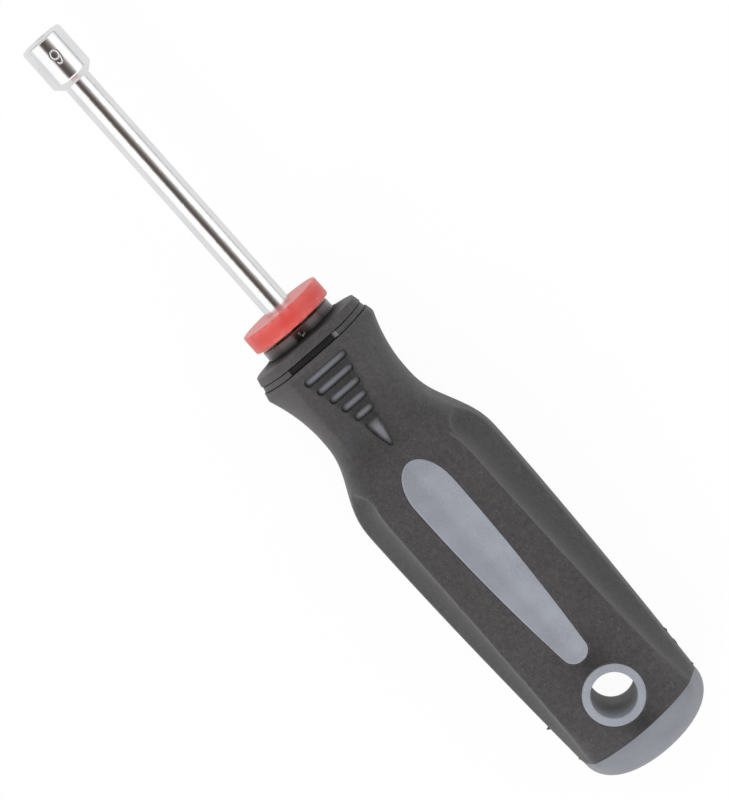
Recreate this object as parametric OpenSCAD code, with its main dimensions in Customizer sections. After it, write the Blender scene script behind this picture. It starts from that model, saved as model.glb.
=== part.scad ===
// Nut driver with a hollow shaft and an overmoulded grip.
// The drive axis lies along X with the socket's mouth at -X, and the inlay faces +Z.
// The tool lies on its back, so the lowest point of the grip is at Z = 0.

/* [Socket] */
// Width of the nut across its flats
hex_af = 6; // [4:0.5:6.5]
// Room across the flats, so that a nut slides in
hex_room = 0.15; // [0.05:0.05:0.3]
// Depth of the nut recess
hex_depth = 7; // [4:0.5:8]
// Outer diameter of the socket
socket_d = 10.1; // [9.8:0.1:13]
// Length of the socket's straight part
socket_len = 10.2; // [9.5:0.1:16]
// Length of the cone behind the straight part
socket_cone = 1.5; // [0.8:0.1:2.5]
// Rounding of the mouth's outer edge
mouth_round = 0.7; // [0.3:0.1:0.8]
// Lead-in chamfer of the nut recess
mouth_lead = 0.4; // [0.2:0.1:0.5]
// Thickness of the floor between the nut recess and the shaft's seat
socket_floor = 1; // [0.6:0.1:1.5]
// Lip that the cone leaves around the shaft
socket_lip = 0.3; // [0.2:0.05:0.6]

/* [Shaft] */
// Diameter of the hollow shaft
shaft_d = 6.35; // [5.5:0.05:7.5]
// Diameter of the bore that takes the end of a long bolt
bolt_bore_d = 4.2; // [3:0.1:4.6]
// Depth of that bore below the mouth
bolt_depth = 66; // [30:1:70]
// Length of blade in front of the colour ring, mouth included
blade_len = 76; // [50:0.1:150]
// Length of shaft that the handle holds, behind the ring's front face
shaft_hold = 50; // [35:1:60]
// Width over the two wings pressed out of the shaft's rear end
wing_w = 10.6; // [8:0.1:12]
// Thickness of the wings
wing_t = 2; // [1.5:0.1:3]
// Length of the wings
wing_len = 9; // [5:0.5:14]

/* [Colour ring] */
// Outer diameter of the ring
ring_d = 19.8; // [16:0.1:24]
// Thickness of the ring along the shaft
ring_t = 4.4; // [3.5:0.1:7]
// Thickness of the ring's front wall
ring_wall = 1.4; // [1:0.1:2]
// Rounding of the ring's edges
ring_round = 0.3; // [0.2:0.1:0.8]
// Radial clearance of the ring on the shaft and on the nose
ring_fit = 0.1; // [0.05:0.05:0.2]
// Shadow gap between the ring and the neck
ring_gap = 0.6; // [0.2:0.1:1]

/* [Bolster] */
// Diameter of the nose that carries the ring
nose_d = 11.6; // [9.5:0.1:14]
// Diameter of the neck
neck_d = 17.7; // [15:0.1:19]
// Length of neck that shows in front of the grip
neck_show = 2.65; // [1.5:0.05:5]
// Depth that the neck reaches into the grip
neck_in = 4.9; // [4.5:0.1:6]
// Diameter of the stem inside the core
stem_d = 14; // [12.5:0.1:15]
// Length of stem behind the shaft's end
stem_cover = 9; // [4:0.5:12]
// Width over the stem's ribs
rib_span = 17; // [15.5:0.1:18]
// Thickness of the stem's ribs
rib_t = 2.4; // [1.5:0.1:4]
// Length of the ribs behind the neck
rib_len = 38; // [20:1:42]
// Width of the two key notches in the neck
notch_w = 2.1; // [1.5:0.1:4]
// Distance of the key notches from the neck's front
notch_at = 0.9; // [0.4:0.1:1]
// Length of the key notches
notch_len = 1.2; // [0.6:0.1:1.4]
// Depth of the key notches
notch_deep = 0.9; // [0.4:0.1:1.5]

/* [Grip lengths] */
// Length of the sloping front face at the sides
bevel_len = 0.7; // [0.5:0.1:1.5]
// Length from the grip's front to the widest line of the head
head_len = 5.9; // [5.5:0.1:9]
// Length from the head to the waist
throat_len = 13.7; // [13:0.1:20]
// Length from the waist to the swell
shoulder_len = 23.2; // [20:0.1:30]
// Length from the swell to the butt
taper_len = 66.9; // [62:0.1:80]
// Length of the domed butt
butt_len = 8; // [6:0.1:14]

/* [Grip sections] */
// Width at the front end of the sloping face, close around the neck
land_w = 18.8; // [18:0.1:22]
// Width at the front rim
rim_w = 26.8; // [25:0.1:29]
// Thickness at the front rim
rim_h = 22; // [21:0.1:28]
// Width at the head's widest line
head_w = 29.3; // [28:0.1:33]
// Thickness at the head's widest line
head_h = 24.4; // [23:0.1:32]
// Width at the waist
waist_w = 23.7; // [22.5:0.1:27]
// Thickness at the waist
waist_h = 21.6; // [21:0.1:26]
// Width at the swell
swell_w = 35.7; // [32:0.1:40]
// Thickness at the swell
swell_h = 30.8; // [29:0.1:36]
// Width at the butt
tail_w = 31.2; // [28:0.1:34]
// Thickness at the butt
tail_h = 24.8; // [22:0.1:30]
// Width of the flat front and back faces at the head and the waist
waist_face = 16; // [13:0.1:17]
// Width of the flat faces at the swell
swell_face = 24; // [21:0.1:26]
// Width of the flat faces at the butt
tail_face = 25.8; // [22:0.1:27]
// Height of the side walls at the head and the waist
waist_side = 6.6; // [5:0.1:12]
// Height of the side walls at the swell
swell_side = 6.6; // [5:0.1:14]
// Height of the side walls at the butt
tail_side = 6; // [5:0.1:12]
// Rise of the faces at their middle, at the head and the waist
waist_crown = 0.9; // [0.2:0.1:1.5]
// Rise of the faces at their middle, at the swell
swell_crown = 0.3; // [0.1:0.1:1]
// Rise of the faces at their middle, at the butt
tail_crown = 1.5; // [0.5:0.1:2.5]
// Swell of the side walls at mid height
side_crown = 0.35; // [0.2:0.05:0.8]
// Depth of the hollow flutes along the four corners
flute_deep = 1.1; // [0.4:0.1:1.4]
// Rise of the corner facets at the head and the waist
facet_rise = 0.5; // [0.2:0.1:1]
// Length over which a flute runs in at the shoulder
flute_run = 4; // [3:0.5:8]
// Distance of the flute's start in front of the swell
flute_lead = 11.4; // [6:0.1:14]
// Amount by which the butt's seam bows forwards at the sides
seam_bow = 1.5; // [0.5:0.1:2.5]

/* [Ring groove and windows] */
// Distance of the ring groove from the grip's front
groove_at = 2.5; // [1.8:0.05:2.7]
// Width of the ring groove
groove_w = 1.65; // [1:0.05:1.9]
// Depth of the ring groove
groove_deep = 0.35; // [0.2:0.05:0.6]
// Length of the deep pocket that crosses the front face in the groove
pocket_len = 13.2; // [8:0.1:14]
// Depth of the pocket
pocket_deep = 1; // [0.5:0.1:1.2]
// Thickness of the rubber over the core
skin = 1.5; // [1:0.1:1.6]
// Distance of the first slot behind the head's widest line
slot_at = 1.5; // [1:0.05:1.8]
// Spacing of the slots
slot_pitch = 3.07; // [2.6:0.01:3.1]
// Number of slots
slot_count = 5; // [2:1:5]
// Width of a slot
slot_w = 1.7; // [1:0.05:2]
// Length of the first slot
slot_long = 11.1; // [8:0.1:13]
// Amount by which each slot is shorter than the one before
slot_less = 1.55; // [0.5:0.05:1.8]
// Depth of the slots and the arrow, down to ribs of the core
slot_deep = 0.8; // [0.4:0.1:1]
// Distance from the last slot to the arrow's base
arrow_at = 2.35; // [1.5:0.05:2.6]
// Length of the arrow
arrow_len = 7.9; // [4:0.1:8.2]
// Width of the arrow's base
arrow_w = 3.6; // [2.5:0.1:5]
// Rounding of the arrow's corners
arrow_round = 0.35; // [0.2:0.05:0.5]

/* [Inlay and hanging hole] */
// Distance of the inlay's nose behind the waist
inlay_at = 13.8; // [13:0.1:16]
// Distance of the inlay's rear end in front of the eyelet
inlay_gap = 3; // [2:0.1:10]
// Width of the inlay behind its nose
inlay_w = 10.7; // [8:0.1:13]
// Length of the elliptical nose
inlay_nose = 8.5; // [6:0.1:12]
// Width of the inlay at its rear end
inlay_end_w = 6.3; // [6.2:0.1:8]
// How far the inlay's long sides bow outwards
inlay_bow = 0.55; // [0:0.05:1]
// Rounding of the rear corners
inlay_round = 3; // [1:0.1:3]
// Distance of the hanging hole in front of the butt's seam
hole_at = 10; // [9:0.1:12]
// Diameter of the hanging hole
hole_d = 10; // [6:0.1:10.5]
// Outer diameter of the eyelet around the hole
eyelet_d = 13.9; // [12:0.1:15]

/* [Hidden] */
$fn = 48;

// Places along the axis
total_len = blade_len + ring_t + ring_gap + neck_show + head_len + throat_len + shoulder_len
    + taper_len + butt_len;
mouth_x = -total_len/2;
ring_x = mouth_x + blade_len;
neck_x = ring_x + ring_t + ring_gap;
grip_x = neck_x + neck_show;
stem_x = grip_x + neck_in;
head_x = grip_x + head_len;
waist_x = head_x + throat_len;
swell_x = waist_x + shoulder_len;
tail_x = swell_x + taper_len;
end_x = tail_x + butt_len;
shaft_end_x = ring_x + shaft_hold;
axis_z = swell_h/2;
hole_x = tail_x - hole_at;
inlay_x = waist_x + inlay_at;
inlay_len = hole_x - eyelet_d/2 - inlay_gap - inlay_x;

// Socket, ring and cutting sizes
hex_r = (hex_af + hex_room)/2/cos(30);
socket_total = socket_len + socket_cone;
seat_x = mouth_x + hex_depth + socket_floor;
nose_len = ring_t - ring_wall + ring_gap;
cut_z = swell_h + head_h;
seam_r = (pow(tail_w/2, 2) + pow(seam_bow, 2))/(2*seam_bow);
over = 0.5;

// Steps of the lofted grip and of the inlay's sides
bow_steps = 8;
face_steps = 3;
flute_steps = 4;
side_steps = 4;
throat_steps = 7;
shoulder_steps = 12;
taper_steps = 9;
butt_steps = 8;
groove_slope = 0.15;
taper_power = 1.66;
dome_power = 2.35;
oval_pace = 1.5;
seam_steps = 12;
floor_steps = 6;
core_steps = 5;

function mix(a, b, t) = a + (b - a)*t;
function ease(t) = let (u = min(1, max(0, t))) u*u*u*(u*(6*u - 15) + 10);
function arc(c, r, a, b, n) = [for (i = [0:n]) c + r*[cos(mix(a, b, i/n)), sin(mix(a, b, i/n))]];

// A size along the grip: straight to the head, a parabola to the waist, an S to the swell, then a taper
function along(x, rim, head, waist, swell, tail) =
    x < head_x ? mix(rim, head, (x - grip_x - bevel_len)/(head_len - bevel_len)) :
    x < waist_x ? mix(waist, head, pow((waist_x - x)/throat_len, 2)) :
    x < swell_x ? mix(waist, swell, ease((x - waist_x)/shoulder_len)) :
    mix(swell, tail, pow(min(1, (x - swell_x)/taper_len), taper_power));

function half_w(x) = along(x, rim_w, head_w, waist_w, swell_w, tail_w)/2;
function half_h(x) = along(x, rim_h, head_h, waist_h, swell_h, tail_h)/2;
function half_face(x) = along(x, waist_face, waist_face, waist_face, swell_face, tail_face)/2;
function half_side(x) = along(x, waist_side, waist_side, waist_side, swell_side, tail_side)/2;
function crown(x) = along(x, waist_crown, waist_crown, waist_crown, swell_crown, tail_crown);
function hollow(x) = mix(-facet_rise, flute_deep, ease((x - swell_x + flute_lead)/flute_run))
    *(1 - pow(max(0, (x - swell_x)/taper_len), 3));

// Radius of the turned core, one skin thickness inside the narrower way of the grip
function core_r(x) = min(half_w(x), half_h(x)) - skin;

// A quarter of the section: crowned face, hollow or rising corner facet, bowed side wall
function quarter(w, h, f, s, d, c) =
    let (a = [f, h - c], b = [w - side_crown, s])
    let (out = [a.y - b.y, b.x - a.x]/norm(b - a))
    concat(
        [for (i = [0:face_steps - 1]) let (t = i/face_steps) [f*t, h - c*t*t]],
        [for (i = [0:flute_steps - 1]) let (t = i/flute_steps) mix(a, b, t) - 4*d*t*(1 - t)*out],
        [for (i = [0:side_steps]) let (t = 1 - i/side_steps) [w - side_crown*t*t, s*t]]);

// The whole section from its quarter, round from the top of the face
function section(q) =
    let (n = len(q) - 1)
    concat(
        [for (i = [0:n - 1]) [q[i].x, q[i].y]],
        [for (i = [n:-1:1]) [q[i].x, -q[i].y]],
        [for (i = [0:n - 1]) [-q[i].x, -q[i].y]],
        [for (i = [n:-1:1]) [-q[i].x, q[i].y]]);

function ring_at(x, less) = [for (p = section(quarter(half_w(x) - less, half_h(x) - less,
    half_face(x), half_side(x), hollow(x), crown(x)))) [x, p.x, p.y]];

// The front is a blunt cone, so the rim lies farther back at the sides than on the faces
function front(ring) = [for (p = ring) let (r = norm([p.y, p.z]))
    [grip_x + bevel_len*max(0, 2*r - land_w)/(rim_w - land_w), p.y, p.z]];

// The rings shrink to a land at the front, and at the butt they round over into an oval dome
function scaled(ring, x, k) = [for (p = ring) [x, p.y*k, p.z*k]];
function dome(t) = sqrt(1 - pow(t, dome_power));
function oval(ring) = let (w = half_w(tail_x), h = half_h(tail_x))
    [for (p = ring) let (n = norm([p.y/w, p.z/h])) [p.x, p.y/n, p.z/n]];
function butt_ring(t) = scaled(mix(ring_at(tail_x, 0), oval(ring_at(tail_x, 0)), ease(t*oval_pace)),
    tail_x + butt_len*t, dome(t));

rim_x = grip_x + bevel_len;
groove_x = grip_x + groove_at;
groove_end_x = groove_x + groove_w;

grip_rings = concat(
    [scaled(ring_at(rim_x, 0), grip_x, land_w/rim_w), front(ring_at(rim_x, 0))],
    [ring_at(groove_x, 0), ring_at(groove_x + groove_slope, groove_deep)],
    [ring_at(groove_end_x - groove_slope, groove_deep), ring_at(groove_end_x, 0)],
    [for (i = [0:throat_steps - 1]) ring_at(head_x + throat_len*i/throat_steps, 0)],
    [for (i = [0:shoulder_steps - 1]) ring_at(waist_x + shoulder_len*i/shoulder_steps, 0)],
    [for (i = [0:taper_steps]) ring_at(swell_x + taper_len*i/taper_steps, 0)],
    [for (i = [1:butt_steps - 1]) butt_ring(sin(90*i/butt_steps))]);

// Closed loft over the rings, with a fan of triangles at each end
module grip_form() {
    rings = len(grip_rings);
    round_n = len(grip_rings[0]);
    points = concat([for (r = grip_rings) each r], [[grip_x, 0, 0], [end_x, 0, 0]]);
    front_hub = rings*round_n;
    rear_hub = front_hub + 1;
    rear_0 = (rings - 1)*round_n;
    walls = [for (i = [0:rings - 2], j = [0:round_n - 1])
        let (k = (j + 1)%round_n, a = i*round_n, b = a + round_n)
        each [[a + j, a + k, b + j], [a + k, b + k, b + j]]];
    front = [for (j = [0:round_n - 1]) [front_hub, (j + 1)%round_n, j]];
    rear = [for (j = [0:round_n - 1]) [rear_hub, rear_0 + j, rear_0 + (j + 1)%round_n]];
    translate([0, 0, axis_z]) polyhedron(points, concat(walls, front, rear));
}

// Frames: one turns a profile about the drive axis, one drops an outline through the grip
module on_axis(x) {
    translate([x, 0, axis_z]) rotate([0, 90, 0]) children();
}

module through(x) {
    translate([x, 0, axis_z - cut_z/2]) linear_extrude(cut_z) children();
}

module rod(x0, x1, d) {
    on_axis(x0) cylinder(h = x1 - x0, d = d);
}

// Socket: turned body with a rounded mouth and a rear cone, hexagon, bolt bore and shaft seat
module drive_socket() {
    mouth = arc([socket_d/2 - mouth_round, mouth_round], mouth_round, -90, 0, 6);
    cone = [[socket_d/2, socket_len], [shaft_d/2 + socket_lip, socket_total], [0, socket_total]];
    color([0.86, 0.87, 0.88])
        difference() {
            on_axis(mouth_x) rotate_extrude() polygon(concat([[0, 0]], mouth, cone));
            on_axis(mouth_x) translate([0, 0, -over]) cylinder(h = hex_depth + over, r = hex_r, $fn = 6);
            on_axis(mouth_x) cylinder(h = mouth_lead, r1 = hex_r + mouth_lead, r2 = hex_r);
            rod(mouth_x, mouth_x + socket_total, bolt_bore_d);
            rod(seat_x, mouth_x + socket_total + over, shaft_d);
        }
}

// Outside of the shaft, which also forms its seat in the bolster
module shaft_form() {
    rod(seat_x, shaft_end_x, shaft_d);
    translate([shaft_end_x - wing_len/2, 0, axis_z]) cube([wing_len, wing_w, wing_t], center = true);
}

module hollow_shaft() {
    color([0.80, 0.81, 0.83])
        difference() {
            shaft_form();
            rod(seat_x - over, mouth_x + bolt_depth, bolt_bore_d);
        }
}

// Colour ring: a cap over the bolster's nose, bored for the shaft
module size_ring() {
    r = ring_d/2;
    outline = concat(
        [[0, 0]],
        arc([r - ring_round, ring_round], ring_round, -90, 0, 5),
        arc([r - ring_round, ring_t - ring_round], ring_round, 0, 90, 5),
        [[0, ring_t]]);
    color([0.84, 0.20, 0.18])
        difference() {
            on_axis(ring_x) rotate_extrude() polygon(outline);
            rod(ring_x - over, ring_x + ring_t + over, shaft_d + 2*ring_fit);
            rod(ring_x + ring_wall, ring_x + ring_t + over, nose_d + 2*ring_fit);
        }
}

// Outside of the bolster, which also forms its seat in the core and the grip
module bolster_form() {
    rod(neck_x - nose_len, neck_x + over, nose_d);
    rod(neck_x, stem_x, neck_d);
    rod(stem_x - over, shaft_end_x + stem_cover, stem_d);
    for (turn = [0, 90])
        translate([stem_x + rib_len/2 - over/2, 0, axis_z]) rotate([turn, 0, 0])
            cube([rib_len + over, rib_span, rib_t], center = true);
}

module nose_bolster() {
    color([0.10, 0.10, 0.11])
        difference() {
            bolster_form();
            shaft_form();
            for (side = [-1, 1])
                translate([neck_x + notch_at + notch_len/2, 0, axis_z + side*(neck_d - notch_deep + over)/2])
                    cube([notch_len, notch_w, notch_deep + over], center = true);
        }
}

// Windows of the grip that the core fills up to the surface
module inlay_outline() {
    nose = [for (i = [0:16]) let (a = 90 + 180*i/16)
        [inlay_nose*(1 + cos(a)), inlay_w/2*sin(a)]];
    rear_c = [inlay_len - inlay_round, inlay_end_w/2 - inlay_round];
    side = [for (i = [1:bow_steps - 1]) let (t = i/bow_steps)
        [mix(inlay_nose, rear_c.x, t), mix(inlay_w, inlay_end_w, t)/2 + 4*inlay_bow*t*(1 - t)]];
    polygon(concat(
        nose,
        [for (p = side) [p.x, -p.y]],
        arc([rear_c.x, -rear_c.y], inlay_round, -90, 0, 8),
        arc(rear_c, inlay_round, 0, 90, 8),
        [for (i = [len(side) - 1:-1:0]) side[i]]));
}

// All that lies behind the butt's seam, which is an arc seen from the front
module butt_outline() {
    turn = asin(swell_w/seam_r);
    polygon(concat(
        arc([-seam_r, 0], seam_r, -turn, turn, seam_steps),
        [[2*butt_len, swell_w], [2*butt_len, -swell_w]]));
}

module core_windows() {
    through(inlay_x) inlay_outline();
    through(hole_x) circle(d = eyelet_d);
    through(tail_x) butt_outline();
}

// Slots and arrow, which stop on ribs of the core
module slot_windows() {
    for (i = [0:slot_count - 1]) {
        straight = slot_long - slot_less*i - slot_w;
        through(head_x + slot_at + slot_pitch*i) {
            square([slot_w, straight], center = true);
            for (side = [-1, 1]) translate([0, side*straight/2]) circle(d = slot_w);
        }
    }
    through(head_x + slot_at + slot_pitch*(slot_count - 1) + arrow_at) arrow_outline();
}

// Long triangle with rounded corners that points to the butt
module arrow_outline() {
    half = atan(arrow_w/2/arrow_len);
    base = [arrow_round, arrow_w/2 - arrow_round/tan((90 - half)/2)];
    tip = [arrow_len - arrow_round/sin(half), 0];
    polygon(concat(
        arc(tip, arrow_round, half - 90, 90 - half, 5),
        arc(base, arrow_round, 90 - half, 180, 5),
        arc([base.x, -base.y], arrow_round, 180, 270 + half, 5)));
}

// Block between the floors of the front and the back slots
module slot_floors() {
    places = concat(
        [for (i = [0:floor_steps]) head_x + throat_len*i/floor_steps],
        [for (i = [1:floor_steps]) waist_x + shoulder_len*i/floor_steps]);
    top = [for (x = places) [x, half_h(x) - slot_deep]];
    bottom = [for (i = [len(top) - 1:-1:0]) [top[i].x, -top[i].y]];
    translate([0, slot_long/2 + over, axis_z]) rotate([90, 0, 0])
        linear_extrude(slot_long + 2*over) polygon(concat(top, bottom));
}

// Turned body of the core
module core_form() {
    places = concat(
        [stem_x, head_x],
        [for (i = [1:core_steps]) head_x + throat_len*i/core_steps],
        [for (i = [1:2*core_steps]) waist_x + shoulder_len*i/(2*core_steps)],
        [for (i = [1:core_steps]) swell_x + taper_len*i/core_steps]);
    on_axis(0) rotate_extrude()
        polygon(concat([[0, stem_x]], [for (x = places) [core_r(x), x]], [[0, tail_x]]));
}

module handle_core() {
    color([0.58, 0.60, 0.64])
        difference() {
            union() {
                core_form();
                intersection() {
                    grip_form();
                    core_windows();
                }
                intersection() {
                    slot_floors();
                    slot_windows();
                }
            }
            bolster_form();
            through(hole_x) circle(d = hole_d);
        }
}

// Deep pocket in the ring groove, on the front and the back face
module pockets() {
    deep = groove_deep + pocket_deep;
    for (side = [-1, 1])
        translate([groove_x + groove_w/2, 0, axis_z + side*(half_h(groove_x) - deep + cut_z/2)])
            cube([groove_w - 2*groove_slope, pocket_len, cut_z], center = true);
}

module rubber_grip() {
    color([0.20, 0.20, 0.21])
        difference() {
            grip_form();
            core_form();
            rod(grip_x - over, stem_x + over, neck_d);
            core_windows();
            slot_windows();
            pockets();
        }
}

drive_socket();
hollow_shaft();
size_ring();
nose_bolster();
handle_core();
rubber_grip();
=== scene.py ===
import math

import bmesh
import bpy
import numpy as np
from mathutils import Matrix, Vector


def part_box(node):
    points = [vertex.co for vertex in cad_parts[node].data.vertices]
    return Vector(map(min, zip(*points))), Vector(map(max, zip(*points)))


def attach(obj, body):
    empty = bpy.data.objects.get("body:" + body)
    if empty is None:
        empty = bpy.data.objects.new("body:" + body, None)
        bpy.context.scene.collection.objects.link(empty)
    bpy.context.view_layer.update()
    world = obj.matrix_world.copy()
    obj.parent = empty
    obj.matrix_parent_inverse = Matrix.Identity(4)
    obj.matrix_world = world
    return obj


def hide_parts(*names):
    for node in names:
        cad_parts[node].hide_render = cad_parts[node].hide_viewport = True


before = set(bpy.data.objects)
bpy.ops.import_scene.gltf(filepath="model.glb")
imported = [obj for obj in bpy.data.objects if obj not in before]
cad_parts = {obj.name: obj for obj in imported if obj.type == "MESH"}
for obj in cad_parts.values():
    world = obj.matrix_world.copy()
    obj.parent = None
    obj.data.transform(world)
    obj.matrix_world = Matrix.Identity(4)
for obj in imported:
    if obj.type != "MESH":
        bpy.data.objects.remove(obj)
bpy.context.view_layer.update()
mm = 0.001

# Places along the drive axis, in mm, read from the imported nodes
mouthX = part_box("drive_socket")[0].x / mm
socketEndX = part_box("drive_socket")[1].x / mm
shaftX, shaftEndX = (corner.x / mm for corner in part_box("hollow_shaft"))
ringX, ringEndX = (corner.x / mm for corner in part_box("size_ring"))
noseX, stemEndX = (corner.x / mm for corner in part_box("nose_bolster"))
gripX, tailX = (corner.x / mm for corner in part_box("rubber_grip"))
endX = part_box("handle_core")[1].x / mm
axisZ = sum(corner.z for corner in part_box("size_ring")) / 2 / mm
print("frame loaded, axis at", round(axisZ, 2), "mm")


# Small tools for surfaces

def easeStep(t):
    # quintic step from 0 to 1 with flat ends
    u = np.clip(t, 0, 1)
    return u * u * u * (u * (6 * u - 15) + 10)


def mixed(a, b, t):
    # straight line from a to b, with t as the share of the way
    return a + (b - a) * t


def softMin(a, b, blend):
    # smaller of two values, with their crossing rounded over the blend
    near = np.clip(1 - np.abs(a - b) / blend, 0, 1)
    return np.minimum(a, b) - near * near * blend / 4


def bezier(a, c, b, t):
    # quadratic curve from a to b that leaves and arrives along the lines to c
    return (1 - t) ** 2 * a + 2 * t * (1 - t) * c + t * t * b


def roundCorners(corners, steps=5):
    # profile of (along, radius, rounding): each rounded corner becomes a short quadratic curve
    spots = np.array(corners, float)
    rows = []
    for i, (along, radius, rounding) in enumerate(spots):
        here = np.array([along, radius])
        if rounding == 0 or i in (0, len(spots) - 1):
            rows.append(here[None])
            continue
        before, after = spots[i - 1, :2] - here, spots[i + 1, :2] - here
        most = 0.49  # a rounding takes less than half of a side
        start = here + before * min(most, rounding / np.linalg.norm(before))
        stop = here + after * min(most, rounding / np.linalg.norm(after))
        rows.append(bezier(start, here, stop, np.linspace(0, 1, steps + 1)[:, None]))
    return np.concatenate(rows)


def quadGrid(ids, wrapRows=False, wrapCols=False):
    # quads between neighbouring rows and columns of an array of vertex numbers
    if wrapRows:
        ids = np.vstack([ids, ids[:1]])
    if wrapCols:
        ids = np.hstack([ids, ids[:, :1]])
    return np.stack([ids[:-1, :-1], ids[:-1, 1:], ids[1:, 1:], ids[1:, :-1]], -1)


def newStore():
    # what a piece gathers before it becomes a mesh
    return {"points": [], "edge": [], "paintedLight": [], "faces": [], "count": 0}


def addPoints(store, points, edge=0.0, paintedLight=0.0):
    # keeps an array of points with its wear mask and its mask of painted light and shade, and gives their
    # vertex numbers
    shape = points.shape[:-1]
    ids = store["count"] + np.arange(int(np.prod(shape))).reshape(shape)
    store["points"].append(points.reshape(-1, 3))
    store["edge"].append(np.broadcast_to(edge, shape).ravel())
    store["paintedLight"].append(np.broadcast_to(paintedLight, shape).ravel())
    store["count"] += ids.size
    return ids


def addFaces(store, quads):
    # keeps an array of faces, four or three vertex numbers each
    store["faces"].extend(quads.reshape(-1, quads.shape[-1]).tolist())


def addFan(store, ring, hub, paintedLight=0.0):
    # triangles from one closed ring of vertex numbers to a pole
    hubId = addPoints(store, np.array([hub], float), 0.0, paintedLight)[0]
    addFaces(store, np.stack([ring, np.roll(ring, -1), np.full_like(ring, hubId)], -1))


meshing = {"merge": 0.002, "sliver": 0.0005, "sharpAngle": 38, "chromeAngle": 30}  # mm and degrees


def makePiece(name, store, finish, node, sharpAngle=meshing["sharpAngle"]):
    # writes the store into a mesh, merges seams and poles, turns faces outwards, and hands the piece to
    # the frame
    mesh = bpy.data.meshes.new(name)
    mesh.from_pydata((np.concatenate(store["points"]) * mm).tolist(), [], store["faces"])
    for mask in ("edge", "paintedLight"):
        values = np.concatenate(store[mask]).astype(np.float32)
        mesh.attributes.new(mask, "FLOAT", "POINT").data.foreach_set("value", values)
    work = bmesh.new()
    work.from_mesh(mesh)
    bmesh.ops.remove_doubles(work, verts=work.verts, dist=meshing["merge"] * mm)
    bmesh.ops.dissolve_degenerate(work, edges=work.edges, dist=meshing["sliver"] * mm)
    bmesh.ops.recalc_face_normals(work, faces=work.faces)
    openEdges = sum(1 for e in work.edges if not e.is_manifold)
    work.to_mesh(mesh)
    work.free()
    mesh.polygons.foreach_set("use_smooth", np.ones(len(mesh.polygons), bool))
    mesh.set_sharp_from_angle(angle=math.radians(sharpAngle))
    piece = bpy.data.objects.new(name, mesh)
    bpy.context.scene.collection.objects.link(piece)
    mesh.materials.append(finish)
    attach(piece, "root")
    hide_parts(node)
    print(name, len(mesh.polygons), "faces,", openEdges, "open edges")


def turned(profile, angles, shape=None):
    # profile of (along, radius) carried round the drive axis; shape may change the radius by row and
    # angle
    along, radius = profile[:, :1], np.repeat(profile[:, 1:2], len(angles), 1)
    if shape is not None:
        radius = shape(along, radius, angles[None, :])
    return np.stack([along + 0 * radius, radius * np.cos(angles), axisZ + radius * np.sin(angles)], -1)


def crowdedAngles(count, focus, share, span):
    # angles round the axis, with a share of them crowded into a span on each focus direction
    turn, clear = 2 * np.pi, 0.02
    few = int(count * share / len(focus))
    crowd = [np.linspace(f - span / 2, f + span / 2, few) for f in focus]
    loose = np.linspace(0, turn, count - few * len(focus), endpoint=False)
    away = [np.abs((loose - f + np.pi) % turn - np.pi) > span / 2 + clear for f in focus]
    return np.unique(np.concatenate(crowd + [loose[np.all(away, 0)]]) % turn)


# Shader node tools

def setInputs(tree, node, values):
    # links the sockets among the values and sets the plain numbers and colours
    for name, value in values.items():
        if isinstance(value, bpy.types.NodeSocket):
            tree.links.new(value, node.inputs[name])
        else:
            node.inputs[name].default_value = value


def addNode(tree, kind, values=None, **settings):
    node = tree.nodes.new("ShaderNode" + kind)
    for key, value in settings.items():
        setattr(node, key, value)
    setInputs(tree, node, values or {})
    return node


def calc(tree, operation, a, b=0.0):
    return addNode(tree, "Math", {0: a, 1: b}, operation=operation).outputs[0]


def times(tree, a, b):
    return calc(tree, "MULTIPLY", a, b)


def vectorCalc(tree, operation, values):
    return addNode(tree, "VectorMath", values, operation=operation).outputs[0]


def mapped(tree, value, low, high, toLow=0.0, toHigh=1.0):
    # straight map of one range onto another, held at its ends
    sockets = {"Value": value, "From Min": low, "From Max": high, "To Min": toLow, "To Max": toHigh}
    return addNode(tree, "MapRange", sockets).outputs[0]


def blended(tree, factor, a, b):
    return addNode(tree, "Mix", {0: factor, 6: a, 7: b}, data_type="RGBA").outputs[2]


def layered(tree, base, mask, share, colour):
    # lays a colour over the base where the mask is, as strongly as its share says
    return blended(tree, times(tree, mask, share), base, colour)


def noiseOf(tree, where, scale, detail=2.0, roughness=0.5):
    sockets = {"Vector": where, "Scale": scale, "Detail": detail, "Roughness": roughness}
    return addNode(tree, "TexNoise", sockets).outputs["Fac"]


def maskOf(tree, name):
    # a mask that the mesh carries on its points
    return addNode(tree, "Attribute", attribute_name=name).outputs["Fac"]


def axisOf(tree, where, axis):
    return addNode(tree, "SeparateXYZ", {0: where}).outputs[axis]


def newGroup(name, inputs, outputs):
    group = bpy.data.node_groups.new(name, "ShaderNodeTree")
    for label, kind, value in inputs:
        socket = group.interface.new_socket(label, in_out="INPUT", socket_type="NodeSocket" + kind)
        if value is not None:
            socket.default_value = value
    for label, kind in outputs:
        group.interface.new_socket(label, in_out="OUTPUT", socket_type="NodeSocket" + kind)
    entry = group.nodes.new("NodeGroupInput")
    leave = group.nodes.new("NodeGroupOutput")
    return group, entry.outputs, leave.inputs


def buildGrain():
    # two sizes of noise: a fine moulded grain for bump, and a broad mottle for colour
    ins = [("Vector", "Vector", None), ("Fine", "Float", 4000.0), ("Broad", "Float", 90.0)]
    group, entry, leave = newGroup("mouldedGrain", ins, [("Height", "Float"), ("Mottle", "Float")])
    fine = noiseOf(group, entry["Vector"], entry["Fine"], 3.0, 0.6)
    broad = noiseOf(group, entry["Vector"], entry["Broad"], 4.0, 0.55)
    group.links.new(fine, leave["Height"])
    group.links.new(mapped(group, broad, 0.3, 0.7), leave["Mottle"])
    return group


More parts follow.
